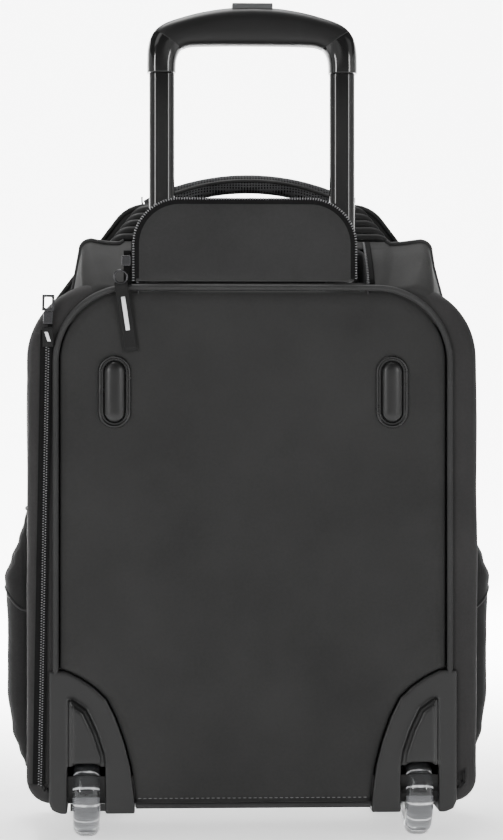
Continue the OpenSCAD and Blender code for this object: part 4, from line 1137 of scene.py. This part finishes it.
reflect_place = reflect_tree.nodes.new("ShaderNodeTexCoord").outputs["Object"]
reflect_spots = noise_of(reflect_tree, reflect_place, 900.0, 2.0)
reflect_tree.links.new(blended(reflect_tree, reflect_spots, (0.78, 0.79, 0.8, 1), (0.6, 0.61, 0.62, 1)),
                       reflect_shader.inputs["Base Color"])
strip_line = [pull_start + pull_down * (12 + 27 * i / 8) * mm + BACK * (1.3 * mm) for i in range(9)]
strip = ribbon("cover_tail_stripe", strip_line, pull_way, 3.2 * mm, 0.3 * mm)
dressed(strip, "cover_pull", reflective, "webbing")
side_strip_line = [Vector((strap_mid.x - 1.2 * mm + 2.4 * mm * i / 4, strap_lo.y - 0.15 * mm,
                           strap_hi.z - 4 * mm - 7.5 * mm * i / 4)) for i in range(5)]
side_strip = ribbon("side_tail_stripe", side_strip_line, RIGHT, 2.6 * mm, 0.3 * mm)
dressed(side_strip, "side_pull", reflective, "webbing")


# ---------------------------------------------------------------------------
# Zip ribs. Five rolled bands of tape and cloth stacked on the ridge, where the
# main compartment's gathered top meets the back section.
# ---------------------------------------------------------------------------

ribs_lo, ribs_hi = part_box("zip_ribs")
rib_count = 5
rib_r = 3.5 * mm
ridge_depth = ribs_lo.y - face_y
rib_cloth = cloth("rib_cloth", (0.008, 0.008, 0.008), (0.024, 0.024, 0.024), 1100.0, 0.55)
first_top = ridge_z + 7 * mm
for i in range(rib_count):
    share = i / (rib_count - 1)
    top = first_top + (ribs_hi.z - first_top) * share - rib_r
    half = ribs_hi.x - 18 * mm * share - rib_r
    depth = ridge_depth + rib_r + (17 * mm - 2 * rib_r) * share
    path = arch_points(half, top, 12 * mm, ridge_z - 6 * mm, depth, 10)
    path = [p + Vector((0, 0, 0.5 * mm * noise.noise(Vector((p.x * 20, i * 3.0, 0))))) for p in path]
    rib = tube(f"zip_rib_{i + 1}", path, rib_r, 4)
    dressed(rib, "root", rib_cloth, "ribs", "zip_ribs")


# ---------------------------------------------------------------------------
# Main compartment. A soft tub of the same cloth, with rounded upper corners, a
# short front wall below the lid's hinge seam and a zip round its open front.
# ---------------------------------------------------------------------------

main_back = 75 * mm
main_front = 165 * mm
lid_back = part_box("main_lid")[0].y - face_y
lid_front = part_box("main_lid")[1].y - face_y
lid_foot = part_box("main_lid")[0].z
main_circles = body_circles + [(s * (case_half - 96 * mm), main_hi.z - 30 * mm, 30 * mm) for s in (-1, 1)]
main_ring = hull_ring(main_circles, 300)
main_count = len(main_ring)
ring_middle = Vector((0, 270 * mm))


def tub_spot(column, row):
    """The tub: out from the middle of its rear wall, round the edge and forward."""
    point, normal = main_ring[column % main_count]
    if row < 4:
        p = ring_middle.lerp(point, (0.0, 0.5, 0.85, 0.955)[row])
        return spot(p.x, main_back + 0.2 * mm, p.y)
    if row < 9:
        a = math.pi / 2 * (row - 4) / 4
        inset, depth = 6 * mm * (1 - math.sin(a)), main_back + 6 * mm * (1 - math.cos(a))
    else:
        share = (row - 8) / 9
        depth = main_back + 6 * mm + (main_front - main_back - 6 * mm) * share
        slack = noise.noise(Vector((point.x * 16, share * 3, point.y * 12)))
        inset = (-1.6 * mm + 1.5 * mm * slack) * math.sin(math.pi * share)
    return spot(point.x - inset * normal.x, depth, point.y - inset * normal.y)


tub_cells = {(c, r) for c in range(main_count) for r in range(17)}
tub = skin_of("main_tub", tub_cells, tub_spot)
lined(tub, 2.3 * mm)
dressed(tub, "root", panel_cloth, "panel_fabric", "main_shell")


front_shares = (0.0, 0.35, 0.6, 0.8, 0.92, 1.0)


def front_spot(column, row, back, front):
    """The front skin: out from its middle, round the edge and back to the zip."""
    point, normal = main_ring[column % main_count]
    edge = front - back
    if row < 6:
        p = ring_middle.lerp(point - edge * normal, front_shares[row])
        bulge = 1.6 * mm * (1 - front_shares[row] ** 4)
        return spot(p.x, front + bulge, p.y)
    a = math.pi / 2 * (row - 5) / 5
    return spot(point.x - edge * (1 - math.sin(a)) * normal.x, front - edge * (1 - math.cos(a)),
                point.y - edge * (1 - math.sin(a)) * normal.y)


def cut_at(piece, height, keep_upper):
    """Cuts a skin at a height and keeps one side of it."""
    mesh = bmesh.new()
    mesh.from_mesh(piece.data)
    bmesh.ops.bisect_plane(mesh, geom=mesh.verts[:] + mesh.edges[:] + mesh.faces[:], plane_co=(0, 0, height),
                           plane_no=(0, 0, 1), clear_inner=keep_upper, clear_outer=not keep_upper)
    mesh.to_mesh(piece.data)
    mesh.free()
    return piece


front_cells = {(c, r) for c in range(main_count) for r in range(10)}
apron = skin_of("front_apron", front_cells, lambda c, r: front_spot(c, r, main_front, lid_front), flip=False)
cut_at(apron, lid_foot - 0.4 * mm, False)
lined(apron, 2 * mm)
dressed(apron, "root", panel_cloth, "panel_fabric", "main_shell")
lid = skin_of("main_lid_panel", front_cells, lambda c, r: front_spot(c, r, lid_back, lid_front), flip=False)
cut_at(lid, lid_foot, True)
lined(lid, 2.2 * mm)
dressed(lid, "main_lid", panel_cloth, "panel_fabric", "main_lid")


def main_edge(inset, depth, foot):
    """The line of the main zip, from low on the right over the top to low on the left."""
    return [spot(p.x - inset * n.x, depth, p.y - inset * n.y) for p, n in main_ring if p.y > foot]


zip_foot = lid_foot + 6 * mm
tub_tape_line = main_edge(0.2 * mm, main_front - 3.6 * mm, zip_foot)
tub_tape = ribbon("main_zip_tape", tub_tape_line, FRONT, 7 * mm, 0.9 * mm)
for vertex in tub_tape.data.vertices:
    away = Vector((vertex.co.x, 0, vertex.co.z - ring_middle.y)).normalized()
    vertex.co += away * 0.5 * mm
dressed(tub_tape, "root", zip_black, "zip_tape")
main_coil_line = main_edge(-0.9 * mm, main_front - 0.9 * mm, zip_foot)
main_coil = teeth("main_zip_coil", main_coil_line, FRONT, 1.6 * mm, 1.6 * mm, 1.6 * mm)
dressed(main_coil, "root", coil_painted_highlight, "zip_tape")
lid_pipe = tube("lid_piping", main_edge(1.0 * mm, lid_front - 1.2 * mm, lid_foot + 2 * mm), 1.9 * mm)
dressed(lid_pipe, "main_lid", piping_cloth, "piping")
seam_line = [spot(p.x, main_back + 1.0 * mm, p.y) for p, _ in main_ring]
seam_pipe = tube("main_seam_piping", seam_line, 1.8 * mm, closed=True)
dressed(seam_pipe, "root", piping_cloth, "piping")
main_slider = softened("main_slider", "main_zip_slider", 0.45 * mm, 8)
dressed(main_slider, "main_slider", nickel, "zip_metal", "main_slider")


def hanging_tail(name, node, body, across):
    """A webbing tail on a zip slider, in its own node's box."""
    lo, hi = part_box(node)
    mid = (lo + hi) / 2
    thick = min(hi.x - lo.x, hi.y - lo.y)
    wide = max(hi.x - lo.x, hi.y - lo.y)
    line = [Vector((mid.x, mid.y, hi.z + (lo.z - hi.z) * i / 12)) for i in range(13)]
    tail = ribbon(name, line, across, wide, thick * 0.8)
    return dressed(tail, body, web_black, "webbing", node)


hanging_tail("main_zip_tail", "main_pull", "main_pull", FRONT)


# ---------------------------------------------------------------------------
# Side pockets. A pleated pouch on each side of the main compartment, with a
# stretch top that gathers into fine ribs and a bound mouth.
# ---------------------------------------------------------------------------

def grown_gather():
    """Gathered stretch cloth: upright ribs that fade in above a height."""
    material, tree, shader = principled("pocket_cloth", 0.8, Specular_IOR_Level=0.08)
    group = tree.nodes.new("ShaderNodeGroup")
    group.node_tree = weave
    group.inputs["Dark"].default_value = (0.010, 0.010, 0.010, 1)
    group.inputs["Light"].default_value = (0.026, 0.026, 0.026, 1)
    group.inputs["Threads"].default_value = 800.0
    place = tree.nodes.new("ShaderNodeTexCoord").outputs["Object"]
    x, y, z = wired(tree, "ShaderNodeSeparateXYZ", place).outputs
    ribs = math_of(tree, "SINE", math_of(tree, "MULTIPLY", math_of(tree, "ADD", y, x), math.tau * 330))
    above = wired(tree, "ShaderNodeMapRange", z, 0.2, 0.235, 0.0, 1.0).outputs[0]
    raised = math_of(tree, "MULTIPLY", math_of(tree, "MULTIPLY_ADD", ribs, 0.5, 0.5), above)
    height = math_of(tree, "ADD", math_of(tree, "MULTIPLY", group.outputs["Height"], 0.2),
                     math_of(tree, "MULTIPLY", raised, 2.5))
    tree.links.new(group.outputs["Color"], shader.inputs["Base Color"])
    tree.links.new(group.outputs["Roughness"], shader.inputs["Roughness"])
    bumped(tree, shader, height, 0.5, 0.3 * mm)
    return material


pocket_cloth = grown_gather()
pocket_lo, pocket_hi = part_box("side_pocket_right")
pocket_d0, pocket_d1 = pocket_lo.y - face_y, pocket_hi.y - face_y
pocket_rise = pocket_hi.z - pocket_lo.z


pocket_swell = [(0, 5), (0.05, 10), (0.13, 16), (0.28, 20), (0.55, 20), (0.66, 21), (0.73, 22.6), (0.8, 17),
                (0.88, 10.5), (0.95, 6), (1, 3.5)]


def pocket_bulge(share):
    """How far the pocket stands off the side, from its foot to its mouth."""
    for (v0, out0), (v1, out1) in zip(pocket_swell, pocket_swell[1:]):
        if share <= v1:
            part = (share - v0) / (v1 - v0)
            part = part * part * (3 - 2 * part)
            return (out0 + (out1 - out0) * part) * mm
    return pocket_swell[-1][1] * mm


def pocket_spot(side, u, v):
    """The pouch's skin: u runs from back to front and v from foot to mouth."""
    middle, half = (pocket_d0 + pocket_d1) / 2, (pocket_d1 - pocket_d0) / 2
    z = pocket_lo.z + pocket_rise * v
    a = math.pi * (u - 0.5)
    across = math.copysign(abs(math.sin(a)) ** 0.75, a)
    swell = abs(math.cos(a)) ** 0.45
    reach = pocket_bulge(v)
    fold = 0.9 * mm * noise.noise(Vector((v * 9, u * 4, side * 3.0))) * math.sin(math.pi * min(v * 1.2, 1))
    x = case_half + 0.3 * mm + max(reach + fold * 0.5, 0) * swell
    return spot(side * x, middle + across * half, z)


mouth_cord = 1.7 * mm
for side, word in ((-1, "left"), (1, "right")):
    pocket = laid(f"side_pocket_{word}_skin", 36, 60,
                  lambda u, v, s=side: pocket_spot(s, u, v), flip=side < 0)
    lined(pocket, 1.4 * mm)
    dressed(pocket, "root", pocket_cloth, "pocket_fabric", f"side_pocket_{word}")
    rim = [pocket_spot(side, i / 36, 1.0) for i in range(37)]
    dressed(tube(f"side_pocket_{word}_rim", rim, mouth_cord), "root", piping_cloth, "piping")
    seam = [pocket_spot(side, i / 36, 0.6 + 0.09 * math.sin(math.pi * i / 36)) for i in range(37)]
    dressed(tube(f"side_pocket_{word}_seam", seam, 1.1 * mm), "root", piping_cloth, "piping")
    bottom = laid(f"side_pocket_{word}_base", 36, 1,
                  lambda u, v, s=side: pocket_spot(s, u, 0.0) if v > 0.5 else
                  Vector((s * (case_half + 0.3 * mm), pocket_spot(s, u, 0.0).y, pocket_lo.z)), flip=side > 0)
    lined(bottom, 1.2 * mm)
    dressed(bottom, "root", pocket_cloth, "pocket_fabric")


# ---------------------------------------------------------------------------
# Carry handle. A foam strap covered in open air mesh with bound edges, hinged
# on two folded webbing anchors sewn to the top of the main compartment.
# ---------------------------------------------------------------------------

def grown_mesh():
    """Air mesh: staggered open cells over a dark backing, painted near black, with painted shade down in the
    cells.
    """
    material, tree, shader = principled("air_mesh", 0.75, Specular_IOR_Level=0.1)
    place = tree.nodes.new("ShaderNodeTexCoord").outputs["Object"]
    x, y, z = wired(tree, "ShaderNodeSeparateXYZ", place).outputs
    up = math_of(tree, "MULTIPLY", math_of(tree, "ADD", z, y), math.tau * 260)
    over = math_of(tree, "MULTIPLY", x, math.tau * 210)
    cells = math_of(tree, "MULTIPLY", math_of(tree, "SINE", math_of(tree, "ADD", over, up)),
                    math_of(tree, "SINE", math_of(tree, "SUBTRACT", over, up)))
    hole = wired(tree, "ShaderNodeMapRange", cells, 0.1, 0.5, 0.0, 1.0).outputs[0]
    fuzz = noise_of(tree, place, 700.0, 2.0)
    yarn = blended(tree, fuzz, (0.03, 0.03, 0.031, 1), (0.07, 0.07, 0.072, 1))
    # The open cells are painted near black: the dark backing, deepened by painted shade down in the cells.
    tree.links.new(blended(tree, hole, yarn, (0.002, 0.002, 0.002, 1)), shader.inputs["Base Color"])
    tree.links.new(ranged(tree, fuzz, 0.65, 0.9), shader.inputs["Roughness"])
    bumped(tree, shader, math_of(tree, "SUBTRACT", fuzz, hole), 0.6, 0.4 * mm)
    return material


handle_lo, handle_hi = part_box("carry_handle")
handle_half = handle_hi.x
handle_foot = 518.5 * mm
handle_rise = handle_hi.z - handle_foot
handle_y = (handle_lo.y + handle_hi.y) / 2
handle_arc = (handle_half ** 2 + handle_rise ** 2) / (2 * handle_rise)


def handle_width(x):
    """The strap's width: full along the middle, narrow at its ends."""
    return (15 + 10.5 * (1 - min(abs(x) / handle_half / 0.62, 1) ** 4)) * mm


def handle_spot(u, v):
    """The strap: a rounded section carried along the arch."""
    x = (2 * v - 1) * (handle_half - 1 * mm)
    crown = handle_foot + handle_rise - handle_arc + math.sqrt(handle_arc ** 2 - x * x)
    end = 1 - abs(x) / handle_half
    thick = (5 + 10 * min(end / 0.3, 1) ** 0.7) * mm
    a = math.tau * u
    wide = handle_width(x)
    across = math.copysign(abs(math.cos(a)) ** 0.6, math.cos(a)) * wide / 2
    lift = math.copysign(abs(math.sin(a)) ** 0.55, math.sin(a)) * thick / 2
    middle = crown - thick / 2 - (1 - min(end / 0.3, 1)) * 0.5 * mm
    tilt = -x / handle_arc
    return Vector((x + lift * -tilt, handle_y + across, middle + lift))


air_mesh = grown_mesh()
handle_pad = laid("carry_handle_pad", 28, 60, handle_spot)
ends = bmesh.new()
ends.from_mesh(handle_pad.data)
bmesh.ops.holes_fill(ends, edges=ends.edges, sides=40)
bmesh.ops.recalc_face_normals(ends, faces=ends.faces)
ends.to_mesh(handle_pad.data)
ends.free()
dressed(handle_pad, "carry_handle", air_mesh, "mesh_fabric", "carry_handle")
for side, word in ((-1, "back"), (1, "front")):
    line = []
    for i in range(41):
        x = (2 * i / 40 - 1) * handle_half * 0.93
        crown = handle_foot + handle_rise - handle_arc + math.sqrt(handle_arc ** 2 - x * x)
        line.append(Vector((x, handle_y + side * (handle_width(x) / 2 + 0.2 * mm), crown - 5.5 * mm)))
    dressed(tube(f"carry_handle_edge_{word}", line, 1.5 * mm), "carry_handle", piping_cloth, "piping")
anchors_lo, anchors_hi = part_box("carry_anchors")
for side, word in ((-1, "left"), (1, "right")):
    base_z = anchors_lo.z + 0.8 * mm
    lug_x = anchors_hi.x - 1.5 * mm
    base_start, base_run = handle_half - 15 * mm, lug_x - handle_half + 16 * mm
    base_line = [Vector((side * (base_start + base_run * i / 6), handle_y, base_z)) for i in range(7)]
    base = ribbon(f"carry_anchor_{word}_base", base_line, FRONT, 23 * mm, 1.3 * mm)
    dressed(base, "root", web_black, "webbing", "carry_anchors")
    lug_line = [Vector((side * (lug_x - 8 * mm), handle_y, base_z + 0.9 * mm)),
                Vector((side * (lug_x - 3 * mm), handle_y, base_z + 0.9 * mm)),
                Vector((side * (lug_x - 0.8 * mm), handle_y, base_z + 1.6 * mm)),
                Vector((side * lug_x, handle_y, base_z + 4 * mm)),
                Vector((side * lug_x, handle_y, anchors_hi.z))]
    lug = ribbon(f"carry_anchor_{word}_lug", lug_line, FRONT, 9.6 * mm, 1.4 * mm)
    dressed(lug, "root", web_black, "webbing")


# ---------------------------------------------------------------------------
# Front pocket. A boxed pocket on the lid, rounded at its corners, zipped across
# near the top, and open behind the zip for papers.
# ---------------------------------------------------------------------------

front_lo, front_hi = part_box("front_pocket")
front_r, front_foot_r = 40 * mm, 20 * mm
front_circles = [(s * (front_hi.x - front_r), front_hi.z - front_r, front_r) for s in (-1, 1)]
front_circles += [(s * (front_hi.x - front_foot_r), front_lo.z + front_foot_r, front_foot_r) for s in (-1, 1)]
front_ring = hull_ring(front_circles, 240)
front_count = len(front_ring)
pocket_back, pocket_face = front_lo.y - face_y, front_hi.y - face_y
front_middle = Vector((0, (front_lo.z + front_hi.z) / 2))


def front_pocket_spot(column, row):
    """The pocket's skin: out from its middle, round the edge and back to the lid."""
    point, normal = front_ring[column % front_count]
    edge = 14 * mm
    if row < 6:
        share = front_shares[row]
        p = front_middle.lerp(point - edge * normal, share)
        return spot(p.x, pocket_face - 1.2 * mm + 1.2 * mm * (1 - share ** 3), p.y)
    if row < 12:
        a = math.pi / 2 * (row - 5) / 6
        inset, depth = edge * (1 - math.sin(a)), pocket_face - 1.2 * mm - edge * (1 - math.cos(a))
    else:
        share = (row - 11) / 4
        start = pocket_face - 1.2 * mm - edge
        depth = start + (pocket_back - start) * share
        inset = 2.2 * mm * math.sin(math.pi * share)
    return spot(point.x - inset * normal.x, depth, point.y - inset * normal.y)


mouth_half = front_hi.x - 45 * mm
pocket_cells = set()
for c in range(front_count):
    middle = (front_ring[c][0] + front_ring[(c + 1) % front_count][0]) / 2
    for r in range(15):
        if not (r >= 12 and abs(middle.x) < mouth_half and middle.y > front_middle.y):
            pocket_cells.add((c, r))
front_skin = skin_of("front_pocket_skin", pocket_cells, front_pocket_spot, flip=False)
lined(front_skin, 2.2 * mm)
dressed(front_skin, "main_lid", shell_cloth, "shell_fabric", "front_pocket")
front_pipe_line = [spot(p.x, pocket_back + 1.6 * mm, p.y) for p, _ in front_ring]
front_pipe = tube("front_pocket_piping", front_pipe_line, 1.8 * mm, closed=True)
dressed(front_pipe, "main_lid", piping_cloth, "piping")
zip_height = (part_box("pocket_slider")[0].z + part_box("pocket_slider")[1].z) / 2
front_zip_half = 118 * mm
front_zip_line = [spot((2 * i / 40 - 1) * front_zip_half, pocket_face + 0.2 * mm, zip_height)
                  for i in range(41)]
front_tape = ribbon("front_zip_tape", front_zip_line, UP, 12 * mm, 0.8 * mm)
dressed(front_tape, "main_lid", zip_black, "zip_tape")
front_coil_line = [p + FRONT * 0.4 * mm for p in front_zip_line]
front_coil = teeth("front_zip_coil", front_coil_line, FRONT, 1.6 * mm, 3.4 * mm)
dressed(front_coil, "main_lid", coil_painted_highlight, "zip_tape")
front_slider = softened("pocket_slider", "front_zip_slider", 0.45 * mm, 6)
dressed(front_slider, "pocket_slider", nickel, "zip_metal", "pocket_slider")
hanging_tail("front_zip_tail", "pocket_pull", "pocket_pull", RIGHT)


# ---------------------------------------------------------------------------
# Base and inside. A stiff moulded tray on two rubber-tipped feet, and a padded
# divider that keeps the laptop off the handle tubes.
# ---------------------------------------------------------------------------

tray = moulding("tray_plastic", (0.008, 0.008, 0.008), 0.5, 700.0, 0.1)
foot_rubber = moulding("foot_rubber", (0.01, 0.01, 0.01), 0.6, 900.0, 0.1)
finish_node("base_tray", tray)
finish_node("front_feet", foot_rubber)
divider_lo, divider_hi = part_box("laptop_divider")


def divider_spot(u, v):
    """The divider's face: flat, and thinner towards its bound edges."""
    x = divider_lo.x + (divider_hi.x - divider_lo.x) * u
    z = divider_lo.z + (divider_hi.z - divider_lo.z) * v
    if z < guard_top:
        x = math.copysign(min(abs(x), guard_edge(z) - 14 * mm), x)
    edge = min(u, 1 - u, v, 1 - v)
    return Vector((x, divider_lo.y + 0.9 * mm * (1 - min(edge / 0.05, 1)), z))


divider = lined(laid("laptop_divider_pad", 30, 40, divider_spot), 2.8 * mm)
dressed(divider, "root", lining_cloth, "divider_foam", "laptop_divider")


# ---------------------------------------------------------------------------
# Studio. A pale floor that sweeps up all round, further off on the viewer's
# side, with six soft lamps and a camera behind the case, level with its middle.
# ---------------------------------------------------------------------------

def studio_spot(u, v):
    """The floor and its sweep, as a bowl that is widest on the viewer's side."""
    a = math.tau * u
    stretch = 1 + 1.8 * max(0.6 - math.sin(a), 0) / 1.6
    flat, rise = 3.4 * stretch, 2.6
    if v < 0.5:
        reach, z = flat * v / 0.5, 0.0
    else:
        turn = (v - 0.5) / 0.5 * math.pi / 2
        reach, z = flat + rise * stretch * math.sin(turn), rise * (1 - math.cos(turn))
    return Vector((reach * math.cos(a), reach * math.sin(a), z))


floor = laid("studio_floor", 64, 24, studio_spot)
floor_white, _, floor_shader = principled("floor_white", 0.65)
floor_shader.inputs["Base Color"].default_value = (0.93, 0.93, 0.93, 1)
floor_shader.inputs["Emission Color"].default_value = (1, 1, 1, 1)
floor_shader.inputs["Emission Strength"].default_value = 0.95
floor.data.materials.append(floor_white)


def lamp(name, place, aim, wide, high, power):
    """A soft lamp of a width and height."""
    bpy.ops.object.light_add(type="AREA", location=place)
    light = bpy.context.object
    light.name = name
    light.data.shape = "RECTANGLE"
    light.data.size = wide
    light.data.size_y = high
    light.data.energy = power
    light.rotation_euler = (Vector(aim) - Vector(place)).to_track_quat("-Z", "Y").to_euler()


case_middle = (0.0, 0.0, 0.3)
lamp("lamp_key", (-1.5, -1.9, 1.9), case_middle, 1.2, 1.2, 12.0)
lamp("lamp_fill", (1.9, -1.5, 1.1), case_middle, 1.4, 1.4, 7.0)
lamp("lamp_top", (-0.2, 0.5, 2.3), case_middle, 1.4, 1.4, 90.0)
lamp("lamp_strip_left", (-1.3, -1.7, 0.76), (0.0, 0.0, 0.6), 0.34, 0.42, 14.0)
lamp("lamp_strip_right", (1.15, -1.8, 0.76), (0.0, 0.0, 0.6), 0.3, 0.42, 10.0)
lamp("lamp_sweep", (0.0, 1.6, 2.4), (0.0, 4.6, 0.6), 2.4, 2.4, 1200.0)
world = bpy.data.worlds.new("studio_air")
world.use_nodes = True
world.node_tree.nodes["Background"].inputs["Color"].default_value = (1, 1, 1, 1)
world.node_tree.nodes["Background"].inputs["Strength"].default_value = 0.22
bpy.context.scene.world = world

view_far = 2.2
view_height = 0.3355
view_side = -1.6 * mm
view_turn = math.radians(-2.5)
frame_high = 0.672
camera_data = bpy.data.cameras.new("back_view")
camera = bpy.data.objects.new("back_view", camera_data)
bpy.context.scene.collection.objects.link(camera)
camera_x = view_side + view_far * math.sin(view_turn)
camera.location = (camera_x, face_y - view_far * math.cos(view_turn), view_height)
camera.rotation_euler = (math.pi / 2, 0, view_turn)
camera_data.sensor_width = 36
camera_data.lens = 36 * view_far / frame_high
bpy.context.scene.camera = camera
